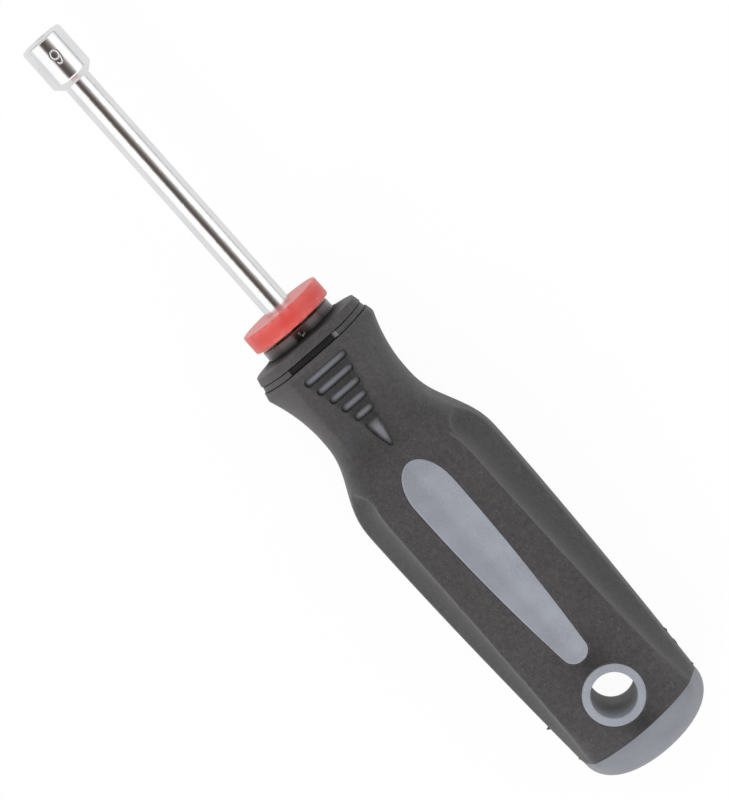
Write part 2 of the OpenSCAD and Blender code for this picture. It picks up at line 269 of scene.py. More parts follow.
def buildDustAndGlints():
    # specks: cells of a Voronoi pattern with wobbled edges, of which a few keep a small dot of random
    # size
    ins = [("Vector", "Vector", None), ("Scale", "Float", 900.0), ("Amount", "Float", 0.03),
           ("Size", "Float", 0.25)]
    group, entry, leave = newGroup("dustAndGlintSpecks", ins, [("Mask", "Float")])
    finer = times(group, entry["Scale"], 3.5)
    wobble = addNode(group, "TexNoise", {"Vector": entry["Vector"], "Scale": finer}).outputs["Color"]
    centred = vectorCalc(group, "SUBTRACT", {0: wobble, 1: (0.5, 0.5, 0.5)})
    shift = vectorCalc(group, "SCALE", {0: centred, "Scale": calc(group, "DIVIDE", 0.55, entry["Scale"])})
    spot = vectorCalc(group, "ADD", {0: entry["Vector"], 1: shift})
    cells = addNode(group, "TexVoronoi", {"Vector": spot, "Scale": entry["Scale"]})
    pick = addNode(group, "SeparateColor", {"Color": cells.outputs["Color"]})
    kept = calc(group, "LESS_THAN", pick.outputs[0], entry["Amount"])
    reach = times(group, entry["Size"], calc(group, "ADD", pick.outputs[1], 0.3))
    dot = calc(group, "SUBTRACT", 1.0, calc(group, "DIVIDE", cells.outputs["Distance"], reach))
    group.links.new(times(group, kept, mapped(group, dot, 0.0, 0.5)), leave["Mask"])
    return group


def buildWearAndLight():
    # the piece's own edge mask, broken up by noise so that rubbed edges aren't even; on the grip the mask
    # also holds a painted highlight on the creases and painted light on the pocket's ramps
    ins = [("Vector", "Vector", None), ("Scale", "Float", 600.0), ("Bite", "Float", 0.45)]
    group, entry, leave = newGroup("edgeWearAndLight", ins, [("Mask", "Float")])
    patch = noiseOf(group, entry["Vector"], entry["Scale"], 3.0)
    rubbedAndLit = mapped(group, patch, entry["Bite"], calc(group, "ADD", entry["Bite"], 0.3))
    group.links.new(times(group, maskOf(group, "edge"), rubbedAndLit), leave["Mask"])
    return group


grainGroup, dustAndGlintGroup, wearAndLightGroup = buildGrain(), buildDustAndGlints(), buildWearAndLight()


def useGroup(tree, group, values):
    return addNode(tree, "Group", values, node_tree=group).outputs


def grainOf(tree, where, fine, broad):
    return useGroup(tree, grainGroup, {"Vector": where, "Fine": fine, "Broad": broad})


def specksOf(tree, where, scale, amount, size):
    values = {"Vector": where, "Scale": scale, "Amount": amount, "Size": size}
    return useGroup(tree, dustAndGlintGroup, values)["Mask"]


def wearAndLightOf(tree, where, scale, bite):
    return useGroup(tree, wearAndLightGroup, {"Vector": where, "Scale": scale, "Bite": bite})["Mask"]


def newFinish(name, sockets):
    # a material with one Principled shader; gives its tree, the shader and the object coordinates
    finish = bpy.data.materials.new(name)
    finish.use_nodes = True
    tree = finish.node_tree
    shader = tree.nodes["Principled BSDF"]
    setInputs(tree, shader, sockets)
    where = addNode(tree, "TexCoord").outputs["Object"]
    return finish, tree, shader, where


def bumped(tree, shader, height, strength, tall):
    bump = addNode(tree, "Bump", {"Height": height, "Strength": strength, "Distance": tall * mm})
    tree.links.new(bump.outputs[0], shader.inputs["Normal"])


def surfaced(tree, shader, base, grain, look):
    # colour, a roughness that follows the mottle, and the grain as bump
    rough = mapped(tree, grain["Mottle"], 0.0, 1.0, *look["rough"])
    setInputs(tree, shader, {"Base Color": base, "Roughness": rough})
    bumped(tree, shader, grain["Height"], *look["bump"])


def overRun(tree, place, start, run, toLow=0.0, toHigh=1.0):
    # the same map for a place in the frame, over a run of two offsets in mm from a start
    return mapped(tree, place, (start + run[0]) * mm, (start + run[1]) * mm, toLow, toHigh)


def grey(value, tint=(1.0, 1.0, 1.0)):
    # one value times a tint, as an opaque colour
    return (value * tint[0], value * tint[1], value * tint[2], 1.0)


# Looks: grain is (fine, broad), wear is (scale, bite), specks are (scale, amount, size), a layer is
# (share, colour), rough is the roughness (from, to), bump is (strength, height in mm), noise is (scale,
# detail, roughness), a band is the span of a noise that fades in, a run is two offsets in mm
rubberTint = (1.0, 0.93, 0.985)
rubberLook = {
    "sockets": {"Sheen Weight": 0.012, "Sheen Roughness": 0.4, "Specular IOR Level": 0.12,
                "Coat Roughness": 0.55},
    "grain": (2500.0, 130.0), "wear": (260.0, 0.1), "dust": (1600.0, 0.3, 0.28),
    "lint": (430.0, 0.02, 0.06), "low": grey(0.027, rubberTint), "high": grey(0.038, rubberTint),
    "rubbedAndLit": grey(0.2, (1.0, 0.97, 0.97)), "fleckLayer": (0.5, grey(0.078, rubberTint)),
    "clumpLayer": (0.5, grey(0.072, rubberTint)), "litHeadTone": grey(0.14, (1.03, 0.97, 0.93)),
    "headShare": 0.21, "filmLayer": (0.35, grey(0.1, (0.96, 0.98, 1.1))), "dustLayer": (0.18, grey(0.26)),
    "lintLayer": (0.45, grey(0.36)), "paintedShadeLayer": (0.9, grey(0.004)), "coat": 0.74, "rough": (0.5, 0.6),
    "bump": (0.6, 0.08), "fleckBand": (0.4, 0.66), "clumpNoise": (950.0, 3.0, 0.6),
    "clumpBand": (0.46, 0.7), "headRun": (9.125, 19.125), "headTilt": (14.0, -12.0),
    "slotRun": (-2.875, 7.125), "shoulderRun": (17.125, 27.125), "filmNoise": (210.0, 5.0, 0.65),
    "filmBand": (0.5, 0.75),
}


def rubberFinish():
    # matte black rubber: grain in two sizes, mottle, rubbed creases with a painted highlight on them,
    # painted light on the pocket's ramps, pale dust specks, a warm painted light on the head, a bluish
    # dust film by the slots, near-black painted shade where the mask of painted light says
    look = rubberLook
    finish, tree, shader, where = newFinish("gripRubber", look["sockets"])
    grain = grainOf(tree, where, *look["grain"])
    base = blended(tree, grain["Mottle"], look["low"], look["high"])
    base = layered(tree, base, mapped(tree, grain["Height"], *look["fleckBand"]), *look["fleckLayer"])
    clumps = mapped(tree, noiseOf(tree, where, *look["clumpNoise"]), *look["clumpBand"])
    base = layered(tree, base, clumps, *look["clumpLayer"])
    along, across = axisOf(tree, where, "X"), axisOf(tree, where, "Y")
    # painted light: the head is lighter and warmer towards its -Y side, where the key lamp stands
    nearHead = overRun(tree, along, headX, look["headRun"], 1.0, 0.0)
    onHead = times(tree, nearHead, overRun(tree, across, 0.0, look["headTilt"], 0.0, look["headShare"]))
    base = blended(tree, onHead, base, look["litHeadTone"])
    toShoulder = overRun(tree, along, headX, look["shoulderRun"], 1.0, 0.0)
    nearSlots = times(tree, overRun(tree, along, headX, look["slotRun"]), toShoulder)
    patches = mapped(tree, noiseOf(tree, where, *look["filmNoise"]), *look["filmBand"])
    base = layered(tree, base, times(tree, nearSlots, patches), *look["filmLayer"])
    # rubbed creases with a painted highlight on them, and painted light on the pocket's ramps
    base = blended(tree, wearAndLightOf(tree, where, *look["wear"]), base, look["rubbedAndLit"])
    base = layered(tree, base, specksOf(tree, where, *look["dust"]), *look["dustLayer"])
    base = layered(tree, base, specksOf(tree, where, *look["lint"]), *look["lintLayer"])
    # painted shade: near-black colour and no coat in slits, windows, the pocket, flutes, beside the neck
    # and round the slots and eyelet
    paintedLight = maskOf(tree, "paintedLight")
    base = layered(tree, base, paintedLight, *look["paintedShadeLayer"])
    setInputs(tree, shader, {"Coat Weight": mapped(tree, paintedLight, 0.0, 1.0, look["coat"], 0.0)})
    surfaced(tree, shader, base, grain, look)
    return finish


coreTint = (0.9, 0.95, 1.08)
coreLook = {
    "sockets": {"Specular IOR Level": 0.5}, "grain": (2900.0, 110.0), "wear": (400.0, 0.4),
    "dirt": (330.0, 0.03, 0.16), "low": grey(0.236, coreTint), "high": grey(0.324, coreTint),
    "fleckLayer": (0.6, grey(0.36, coreTint)), "wearLayer": (0.4, grey(0.42, coreTint)),
    "dirtLayer": (0.55, grey(0.09)), "paintedShade": grey(0.045, (1.02, 0.98, 1.0)),
    "holeShade": grey(0.05, (1.6, 0.88, 0.74)), "rough": (0.44, 0.56), "bump": (0.18, 0.05),
    "fleckBand": (0.4, 0.66), "shadeBand": (0.3, 0.6), "shadeShare": (0.75, 1.0), "holeRun": (5.6, 6.2),
}


def coreFinish():
    # satin grey plastic: faint mottle and grain, a few dirt specks, dark painted shade where the mask of
    # painted light says, brownish in the hole
    look = coreLook
    finish, tree, shader, where = newFinish("corePlastic", look["sockets"])
    grain = grainOf(tree, where, *look["grain"])
    base = blended(tree, grain["Mottle"], look["low"], look["high"])
    base = layered(tree, base, mapped(tree, grain["Height"], *look["fleckBand"]), *look["fleckLayer"])
    base = layered(tree, base, wearAndLightOf(tree, where, *look["wear"]), *look["wearLayer"])
    base = layered(tree, base, specksOf(tree, where, *look["dirt"]), *look["dirtLayer"])
    # painted shade, broken by the grain, brownish inside the hole
    broken = mapped(tree, grain["Height"], *look["shadeBand"], *look["shadeShare"])
    patchy = times(tree, maskOf(tree, "paintedLight"), broken)
    fromHole = calc(tree, "ABSOLUTE", calc(tree, "SUBTRACT", axisOf(tree, where, "X"), holeX * mm))
    inHole = overRun(tree, fromHole, 0.0, look["holeRun"], 1.0, 0.0)
    base = blended(tree, patchy, base, blended(tree, inHole, look["paintedShade"], look["holeShade"]))
    surfaced(tree, shader, base, grain, look)
    return finish


ringLook = {
    "sockets": {"Specular IOR Level": 0.5}, "grain": (4200.0, 220.0), "wear": (700.0, 0.3),
    "dust": (800.0, 0.03, 0.25), "low": (0.60, 0.062, 0.052, 1), "high": (0.64, 0.074, 0.062, 1),
    "frontHighlightLayer": (0.55, (0.80, 0.19, 0.175, 1)), "wearLayer": (0.5, (0.80, 0.25, 0.23, 1)),
    "dustLayer": (0.35, (0.9, 0.5, 0.48, 1)), "rough": (0.3, 0.34), "bump": (0.2, 0.04),
}


def ringFinish():
    # red plastic: slight mottle, paler rubbed edges, a painted highlight on the front face, fine grain
    look = ringLook
    finish, tree, shader, where = newFinish("ringPlastic", look["sockets"])
    grain = grainOf(tree, where, *look["grain"])
    base = blended(tree, grain["Mottle"], look["low"], look["high"])
    # painted highlight: the front face is paler
    base = layered(tree, base, maskOf(tree, "paintedLight"), *look["frontHighlightLayer"])
    base = layered(tree, base, wearAndLightOf(tree, where, *look["wear"]), *look["wearLayer"])
    base = layered(tree, base, specksOf(tree, where, *look["dust"]), *look["dustLayer"])
    surfaced(tree, shader, base, grain, look)
    return finish


# the neck's reddish low and high tones are painted red light from the ring
neckLook = {
    "sockets": {"Specular IOR Level": 0.15, "Coat Roughness": 0.14, "Coat IOR": 1.8},
    "grain": (2600.0, 300.0), "wear": (900.0, 0.4), "dust": (900.0, 0.08, 0.3),
    "paintedGlints": (2300.0, 0.32, 0.6), "low": grey(0.010, (1.4, 1.0, 1.05)),
    "high": grey(0.019, (1.3, 1.0, 1.05)), "ringLightLayer": (0.85, (0.05, 0.011, 0.010, 1)),
    "gapRingLightLayer": (0.8, (0.09, 0.026, 0.022, 1)), "wearLayer": (0.3, grey(0.09)),
    "dustLayer": (0.5, grey(0.35)), "gripShade": grey(0.006), "glintTone": grey(0.75), "coat": 0.75,
    "rough": (0.12, 0.22), "bump": (0.12, 0.03), "ringLightRun": (0.2, 2.4), "gapRingLightRun": (0.05, 0.4),
    "gripShadeRun": (-1.7, -0.2), "coatTo": 0.9,
}


def neckFinish():
    # glossy black plastic with a reddish tint: painted red light from the ring beside it and in the gap,
    # painted shade that makes it darker and less coated towards the grip, painted glints in the notches
    look = neckLook
    finish, tree, shader, where = newFinish("neckPlastic", look["sockets"])
    grain = grainOf(tree, where, *look["grain"])
    along = axisOf(tree, where, "X")
    ringLightNear = overRun(tree, along, neckX, look["ringLightRun"], 1.0, 0.0)
    gap = overRun(tree, along, neckX, look["gapRingLightRun"], 1.0, 0.0)
    gripShade = overRun(tree, along, gripX, look["gripShadeRun"])
    base = blended(tree, grain["Mottle"], look["low"], look["high"])
    # painted red light from the ring, beside it and in the gap
    base = layered(tree, base, ringLightNear, *look["ringLightLayer"])
    base = layered(tree, base, gap, *look["gapRingLightLayer"])
    base = layered(tree, base, wearAndLightOf(tree, where, *look["wear"]), *look["wearLayer"])
    base = layered(tree, base, specksOf(tree, where, *look["dust"]), *look["dustLayer"])
    # painted shade: darker towards the grip
    base = blended(tree, gripShade, base, look["gripShade"])
    # painted glints: pale specks in the notches
    paintedGlints = specksOf(tree, where, *look["paintedGlints"])
    base = layered(tree, base, paintedGlints, maskOf(tree, "paintedLight"), look["glintTone"])
    setInputs(tree, shader, {"Coat Weight": mapped(tree, gripShade, 0.0, look["coatTo"], look["coat"], 0.0)})
    surfaced(tree, shader, base, grain, look)
    return finish


chromeLook = {
    "pits": (1500.0, 0.02, 0.2), "low": grey(0.80), "high": grey(0.85), "pitLayer": (0.5, grey(0.35)),
    "rough": (0.05, 0.11), "dull": 0.15, "lineTall": 0.02, "lineNoise": (1.0, 3.0, 0.65),
    "hazeNoise": (160.0, 3.0), "hazeBand": (0.35, 0.65), "roughBand": (0.3, 0.7),
}


def chromeFinish(name, stretch, lineBump):
    # polished plate: faint polishing lines drawn out along one way, small pits, hazy patches, dull where
    # the mask of painted light and shade is set, which on chrome only raises the roughness
    look = chromeLook
    finish, tree, shader, where = newFinish(name, {"Metallic": 1.0})
    drawn = addNode(tree, "Mapping", {"Vector": where, "Scale": stretch}).outputs[0]
    haze = noiseOf(tree, where, *look["hazeNoise"])
    base = blended(tree, mapped(tree, haze, *look["hazeBand"]), look["low"], look["high"])
    base = layered(tree, base, specksOf(tree, where, *look["pits"]), *look["pitLayer"])
    dull = times(tree, maskOf(tree, "paintedLight"), look["dull"])
    rough = calc(tree, "ADD", mapped(tree, haze, *look["roughBand"], *look["rough"]), dull)
    setInputs(tree, shader, {"Base Color": base, "Roughness": rough})
    bumped(tree, shader, noiseOf(tree, drawn, *look["lineNoise"]), lineBump, look["lineTall"])
    return finish


# Chromed socket: turned outside, hexagon recess, bolt bore and shaft seat in one closed surface
socket = {
    "outerD": 10.1, "straight": 10.2, "mouthRound": 0.7, "hexAcross": 6.15, "hexDepth": 7.0, "lead": 0.75,
    "leadShare": 0.55, "cornerReach": 1.155, "cornerCut": 1.14, "boreD": 4.2, "seatD": 6.35,
    "seatAt": 8.0, "lip": 0.3, "lipRound": 0.08, "coneRound": 0.25, "wallRows": 130, "digitAt": 4.9,
    "digitAcross": 0.58, "digitTall": 3.2, "digitWide": 1.95, "stroke": 0.13, "stampDeep": 0.06,
    "polish": (1500.0, 4500.0, 4500.0), "lineBump": 0.35, "columns": 220, "digitShare": 0.5,
    "digitSpan": 0.75, "boreStep": 0.25,
}


def digitStrokes():
    # a plain six whose top points to the handle: closed bowl, spine along one side, hook over the top
    half, tall = socket["digitWide"] / 2, socket["digitTall"] / 2
    bowlX = half - tall
    a = np.linspace(0, 2 * np.pi, 72)
    bowl = np.stack([bowlX + half * np.cos(a), half * np.sin(a)], 1)
    b = np.linspace(0, 0.8 * np.pi, 48)
    spine = np.stack([bowlX + (tall - bowlX) * np.sin(b), half * np.cos(b)], 1)
    return np.concatenate([bowl, spine[b < 0.72 * np.pi]])


def stampShape(along, radius, angle):
    # the digit sinks into the top of the straight part as a soft groove along its strokes
    strokes = digitStrokes()
    across = (np.pi / 2 - angle) * socket["outerD"] / 2 - socket["digitAcross"]
    spot = np.stack(np.broadcast_arrays(along - mouthX - socket["digitAt"], across), -1)
    near = np.abs(spot[..., 1]) < socket["digitWide"]
    gap = np.full(near.shape, np.inf)
    gap[near] = np.sqrt(((spot[near][:, None] - strokes[None]) ** 2).sum(-1)).min(1)
    outside = radius > socket["outerD"] / 2 - 0.01
    return radius - np.where(outside, socket["stampDeep"] * np.exp(-(gap / socket["stroke"]) ** 2), 0)


def socketProfile():
    # from the shaft's seat over the rear lip and the cone, along the straight wall, to the mouth's
    # quarter round
    s, r, total, rows = socket, socket["outerD"] / 2, socketEndX - mouthX, socket["wallRows"]
    seatR = s["seatD"] / 2
    outside = roundCorners([
        (s["seatAt"], seatR, 0), (total, seatR, 0.0), (total, seatR + s["lip"], s["lipRound"]),
        (s["straight"], r, s["coneRound"]), (s["straight"] - 0.6, r, 0)])
    wall = np.stack([np.linspace(s["straight"] - 0.7, s["mouthRound"] + 0.02, rows), np.full(rows, r)], 1)
    a = np.linspace(0, np.pi / 2, 9)
    mouth = np.stack([s["mouthRound"] * (1 - np.sin(a)), r - s["mouthRound"] * (1 - np.cos(a))], 1)
    return np.concatenate([outside, wall, mouth]) + [mouthX, 0]


def recessPoints(angles):
    # lead-in cone from the mouth to where it meets the hexagon, then the flats, then the step down to the
    # bolt bore; the hexagon's radius is its apothem over the cosine of the angle from a flat's middle,
    # with its corners cut
    apothem = socket["hexAcross"] / 2
    sector = (angles - np.pi / 2 + np.pi / 6) % (np.pi / 3) - np.pi / 6
    hexagon = np.minimum(apothem / np.cos(np.pi / 6 - np.abs(sector)), apothem * socket["cornerCut"])
    coneR = apothem * socket["cornerReach"] + socket["lead"] * socket["leadShare"]
    meet = coneR - hexagon
    cone = np.linspace(0, 1, 4)[:, None] * meet
    flats = meet + np.linspace(0, 1, 9)[1:, None] * (socket["hexDepth"] - meet)
    floor = np.array([[socket["hexDepth"] + socket["boreStep"]], [socket["seatAt"]]]) + 0 * meet
    along = mouthX + np.concatenate([cone, flats, floor])
    radius = np.concatenate([coneR - cone, hexagon + 0 * flats, socket["boreD"] / 2 + 0 * floor])
    return np.stack([along, radius * np.cos(angles), axisZ + radius * np.sin(angles)], -1)


def buildSocket():
    # the columns crowd round the stamped digit and meet the hexagon's corners; the cone is marked as dull
    cut = math.pi / 6 - math.acos(1 / socket["cornerCut"])
    corners = np.pi / 2 + np.arange(6)[:, None] * np.pi / 3 + np.array([-cut, cut])
    crowded = crowdedAngles(socket["columns"], [np.pi / 2], socket["digitShare"], socket["digitSpan"])
    angles = np.unique(np.concatenate([crowded, corners.ravel() % (2 * np.pi)]))
    store = newStore()
    profile = socketProfile()
    recess = recessPoints(angles)
    cone = np.append(profile[:, 0] > mouthX + socket["straight"] + 0.1, np.zeros(len(recess), bool)) * 1.0
    points = np.concatenate([turned(profile, angles, stampShape), recess])
    ids = addPoints(store, points, 0.0, cone[:, None])
    addFaces(store, quadGrid(ids, wrapRows=True, wrapCols=True))
    finish = chromeFinish("socketPlate", socket["polish"], socket["lineBump"])
    makePiece("socketBody", store, finish, "drive_socket", meshing["chromeAngle"])


# Chromed shaft: a tube with a blind bore, and two wings pressed out of the end that the handle holds
shaft = {
    "outerD": 6.35, "boreD": 4.2, "boreTo": 66.0, "drillPoint": 1.0, "wingW": 10.6, "wingT": 2.0,
    "wingLen": 9.0, "rows": 60, "polish": (1300.0, 3600.0, 3600.0), "lineBump": 1.0, "columns": 120,
    "wingShare": 0.3, "wingSpan": 0.7,
}


def shaftShape(along, radius, angle):
    # inside the wings' length the section is the larger of the round bar and the flat wing
    tiny = 1e-3
    flat = np.minimum(shaft["wingW"] / 2 / np.maximum(np.abs(np.cos(angle)), tiny),
                      shaft["wingT"] / 2 / np.maximum(np.abs(np.sin(angle)), tiny))
    winged = (along > shaftEndX - shaft["wingLen"]) & (radius > shaft["boreD"] / 2)
    return np.where(winged, np.maximum(radius, flat), radius)


def buildShaft():
    # one profile from the bore's blind end out round the front and back to the wings, closed by a fan at
    # each end
    r, bore, rows = shaft["outerD"] / 2, shaft["boreD"] / 2, shaft["rows"]
    wingX, boreEndX, soft = shaftEndX - shaft["wingLen"], mouthX + shaft["boreTo"], 0.3
    inside = np.array([(boreEndX, bore), (shaftX, bore)])
    outside = np.stack([np.linspace(shaftX, wingX - soft, rows), np.full(rows, r)], 1)
    wings = np.array([(wingX + soft, r), (shaftEndX, r)])
    angles = crowdedAngles(shaft["columns"], [0.0, np.pi], shaft["wingShare"], shaft["wingSpan"])
    store = newStore()
    outer = addPoints(store, turned(np.concatenate([inside, outside, wings]), angles, shaftShape))
    addFaces(store, quadGrid(outer, wrapCols=True))
    addFan(store, outer[0], (boreEndX + shaft["drillPoint"], 0, axisZ))
    addFan(store, outer[-1], (shaftEndX, 0, axisZ))
    finish = chromeFinish("shaftPlate", shaft["polish"], shaft["lineBump"])
    makePiece("shaftTube", store, finish, "hollow_shaft", meshing["chromeAngle"])


# Red ring: a cap over the bolster's nose
ring = {
    "outerD": 19.8, "wall": 1.4, "edgeRound": 0.28, "shaftD": 6.38, "noseD": 11.8, "belly": 0.02,
    "wearRun": 0.45, "columns": 160,
}


def buildRing():
    # closed profile of the cap turned round the axis; wear lies on its outer edges, and the front face is
    # marked for a painted highlight
    r, thick, wall = ring["outerD"] / 2, ringEndX - ringX, ring["wall"]
    shaftR, noseR, soft = ring["shaftD"] / 2, ring["noseD"] / 2, ring["edgeRound"]
    profile = roundCorners([
        (wall, shaftR, 0), (0.0, shaftR, 0.15), (0.0, r * 0.6, 0), (0.0, r - 0.6, 0), (0.0, r, soft),
        (thick / 2, r + ring["belly"], 0.5), (thick, r, soft), (thick, noseR + 0.3, 0.2),
        (thick - 0.1, noseR, 0), (wall, noseR, 0)], 6)
    fromEnd = np.minimum(profile[:, 0], thick - profile[:, 0])
    edge = np.exp(-(np.hypot(fromEnd, profile[:, 1] - r) / ring["wearRun"]) ** 2)
    litFront = (profile[:, 0] < 0.05) * 1.0
    angles = np.linspace(0, 2 * np.pi, ring["columns"], endpoint=False)
    store = newStore()
    ids = addPoints(store, turned(profile + [ringX, 0], angles), edge[:, None], litFront[:, None])
    addFaces(store, quadGrid(ids, wrapRows=True, wrapCols=True))
    makePiece("sizeRing", store, ringFinish(), "size_ring")


# Black bolster: nose for the ring, neck with two key notches, stem inside the core
bolster = {
    "noseD": 11.6, "neckD": 17.7, "neckIn": 4.9, "stemD": 14.0, "shaftD": 6.35, "gap": 0.6, "notchW": 2.1,
    "notchAt": 0.9, "notchLen": 1.2, "notchDeep": 0.9, "notchOff": 0.5, "notchRamp": 0.25,
    "notchEnd": 0.15, "edgeRound": 0.3, "wearRun": 0.25, "showRows": 36, "fitGap": 0.02, "columns": 200,
    "notchShare": 0.4, "notchSpan": 0.45,
}
neckR = bolster["neckD"] / 2
neckX = ringEndX + bolster["gap"]
stemX = gripX + bolster["neckIn"]


def bolsterShape(along, radius, angle):
    # the notches sink into the neck at the top and the bottom, with short ramps
    across = np.abs(np.cos(angle) * neckR - bolster["notchOff"])
    side = np.clip((bolster["notchW"] / 2 - across) / bolster["notchRamp"] + 0.5, 0, 1)
    middle = neckX + bolster["notchAt"] + bolster["notchLen"] / 2
    reach = np.clip((bolster["notchLen"] / 2 - np.abs(along - middle)) / bolster["notchEnd"] + 0.5, 0, 1)
    outer = radius > bolster["noseD"] / 2 + 1.0
    return np.where(outer, radius - bolster["notchDeep"] * side * reach, radius)


def buildBolster():
    # profile from the shaft's seat over the nose and the neck to the stem, turned round the axis; the
    # notches are marked for the painted glints in them
    nose, stem, bore = (bolster[key] / 2 for key in ("noseD", "stemD", "shaftD"))
    rows = bolster["showRows"]
    front = roundCorners([
        (shaftEndX, bore, 0), (noseX, bore, 0), (noseX, nose, 0.2), (neckX, nose, 0),
        (neckX, neckR - 0.02, bolster["edgeRound"]), (neckX + 0.7, neckR, 0)], 5)
    showing = np.stack([np.linspace(neckX + 0.72, gripX + 0.4, rows), np.full(rows, neckR)], 1)
    rear = roundCorners([(stemX, neckR, 0), (stemX, stem, 0), (stemEndX, stem, 0)])
    profile = np.concatenate([front, showing, rear])
    edge = np.exp(-((profile[:, 0] - neckX) / bolster["wearRun"]) ** 2) * (profile[:, 1] > neckR - 1)
    upAndDown = [np.pi / 2, np.pi * 1.5]
    angles = crowdedAngles(bolster["columns"], upAndDown, bolster["notchShare"], bolster["notchSpan"])
    points = turned(profile, angles, bolsterShape)
    sunk = profile[:, 1:2] - np.hypot(points[..., 1], points[..., 2] - axisZ)
    store = newStore()
    ids = addPoints(store, points, edge[:, None], np.clip(sunk / bolster["notchDeep"], 0, 1))
    addFaces(store, quadGrid(ids, wrapCols=True))
    addFan(store, ids[0], (shaftEndX, 0, axisZ))
    addFan(store, ids[-1], (stemEndX, 0, axisZ))
    makePiece("neckBolster", store, neckFinish(), "nose_bolster")


# Grip: lengths and sections in mm; widths and heights are full sizes
grip = {
    "bevelLen": 0.7, "headLen": 5.9, "throatLen": 13.7, "shoulderLen": 23.2, "taperPower": 1.66,
    "domePower": 2.35, "ovalPace": 1.5, "landW": 18.8, "rimW": 26.8, "rimH": 22.0, "headW": 29.3,
    "headH": 24.4, "waistW": 23.7, "waistH": 21.6, "swellW": 35.7, "swellH": 30.8, "tailW": 31.2,
    "tailH": 24.8, "waistFace": 16.0, "swellFace": 24.0, "tailFace": 25.8, "waistSide": 6.6,
    "swellSide": 6.6, "tailSide": 6.0, "waistCrown": 0.9, "swellCrown": 0.3, "tailCrown": 1.5,
    "sideCrown": 0.35, "seamBow": 1.5, "fluteDeep": 1.1, "facetRise": 0.5, "shoulderRise": 1.1,
    "fluteRun": 3.5, "fluteLead": 11.4, "fluteBow": 3.0, "waistCrease": 1.1, "shoulderCrease": 3.4,
    "ridgeCrease": 0.5, "tailCrease": 3.2, "tailCreaseLen": 16.0, "sideCrease": 0.8, "headRound": 0.5,
    "panelWaist": 5.95, "panelSwell": 6.4, "panelTail": 7.75, "skin": 1.5, "rimSoft": 0.14,
    "grooveAt": 2.5, "grooveW": 1.65, "grooveDeep": 0.28, "slitDeep": 0.5, "slitW": 0.24,
    "pocketNear": 6.2, "pocketFar": 5.6, "pocketDeep": 1.0, "rampNear": 0.65, "rampFar": 1.2,
    "partingRise": 0.05, "lipLen": 0.25, "lipRun": 2.2, "neckGap": 0.08, "tuckLen": 0.3, "tuckDeep": 0.14,
}
# Flash nibs on the parting line: side, distance in front of the butt's seam, height, width
nibs = [(1, 11.4, 0.22, 0.4), (1, 8.2, 0.14, 0.7), (1, 1.9, 0.3, 0.35),
        (-1, 11.75, 0.8, 0.27), (-1, 2.4, 0.2, 0.35)]
rimX = gripX + grip["bevelLen"]
headX = gripX + grip["headLen"]
waistX = headX + grip["throatLen"]
swellX = waistX + grip["shoulderLen"]
taperLen = tailX - swellX

# Windows in the grip
slots = {
    "at": 1.5, "pitch": 3.07, "count": 5, "width": 1.7, "long": 11.1, "less": 1.55, "rows": 8,
    "deep": 0.8,
}
arrow = {"at": 2.35, "long": 7.9, "wide": 3.6, "rounding": 0.35, "bow": 0.2, "margin": 0.3, "rows": 18,
         "ribFrom": 1.3, "ribTo": 2.6, "floorShade": 0.95}
inlay = {
    "at": 13.8, "gap": 3.0, "wide": 10.7, "nose": 8.5, "endWide": 6.3, "rounding": 3.0, "bow": 0.55,
    "margin": 1.0, "rows": 92, "seamGap": 0.07, "proud": 0.1, "crown": 0.22, "edgeRound": 0.22,
    "dull": 0.19, "shadeFrom": 1.2, "shadeRun": 3.0, "noseShare": 0.55,
}
eyelet = {
    "at": 10.0, "holeD": 10.0, "outerD": 13.9, "margin": 0.8, "rows": 52, "seamGap": 0.05, "proud": 0.12,
    "edgeRound": 0.3, "wallLean": 0.16, "wallLit": 0.35, "wallShade": 0.68, "backShade": 0.8,
    "holeWear": 0.7,
}
rib = {"gap": 0.02, "endShade": 0.22, "floor": ((0.5, 0.66), (0.75, 0.5), (1.0, 0.46))}  # (inwards, painted shade)
butt = {"paintedLight": 0.33, "seamShade": 0.8, "seamLen": 0.14, "seamDeep": 0.16, "rows": 34}
# Masks on the grip's points: wear on creases, with a painted highlight there, and on the rim; painted
# shade by place
wearAndHighlight = {"crease": 0.34, "tailShare": 0.1, "tailRun": 42.0, "rim": 0.06, "window": 0.1}
paintedShade = {  # starts, ends and sides are (shift, run) of a fade
    "between": 0.58, "waistShade": 0.16, "waistShadeTilt": 0.08, "hole": 0.5, "holeOff": 0.8, "holeWide": 4.2,
    "pocket": 0.72, "flute": 0.2, "landRun": 3.2, "window": 0.3, "rim": 0.4, "betweenStart": (-0.2, 1.2),
    "betweenEnd": (0.0, 5.0), "betweenSide": (1.1, 1.8), "waistShadeStart": (1.5, 1.5), "waistShadeEnd": (4.0, 9.0),
    "waistShadeSide": (0.3, 0.7), "waistShadeHalf": 4.0, "holeStart": (9.0, 7.0),
}
holeX = tailX - eyelet["at"]
inlayX = waistX + inlay["at"]
inlayEndX = holeX - eyelet["outerD"] / 2 - inlay["gap"]
slotX = headX + slots["at"]
arrowX = slotX + slots["pitch"] * (slots["count"] - 1) + arrow["at"]


def alongGrip(x, rim, head, waist, swell, tail):
    # a size along the grip: straight to the head, parabola to the waist, S to the swell, power taper to
    # the butt; the corner at the head is rounded
    front = mixed(rim, head, (x - rimX) / (headX - rimX))
    throat = mixed(waist, head, ((waistX - x) / grip["throatLen"]) ** 2)
    shoulder = mixed(waist, swell, easeStep((x - waistX) / grip["shoulderLen"]))
    taper = mixed(swell, tail, np.clip((x - swellX) / taperLen, 0, 1) ** grip["taperPower"])
    headPart = softMin(front, throat, grip["headRound"]) if head > waist else front
    headStop = waistX - 4
    return np.select([x < headStop, x < waistX, x < swellX], [headPart, throat, shoulder], taper)


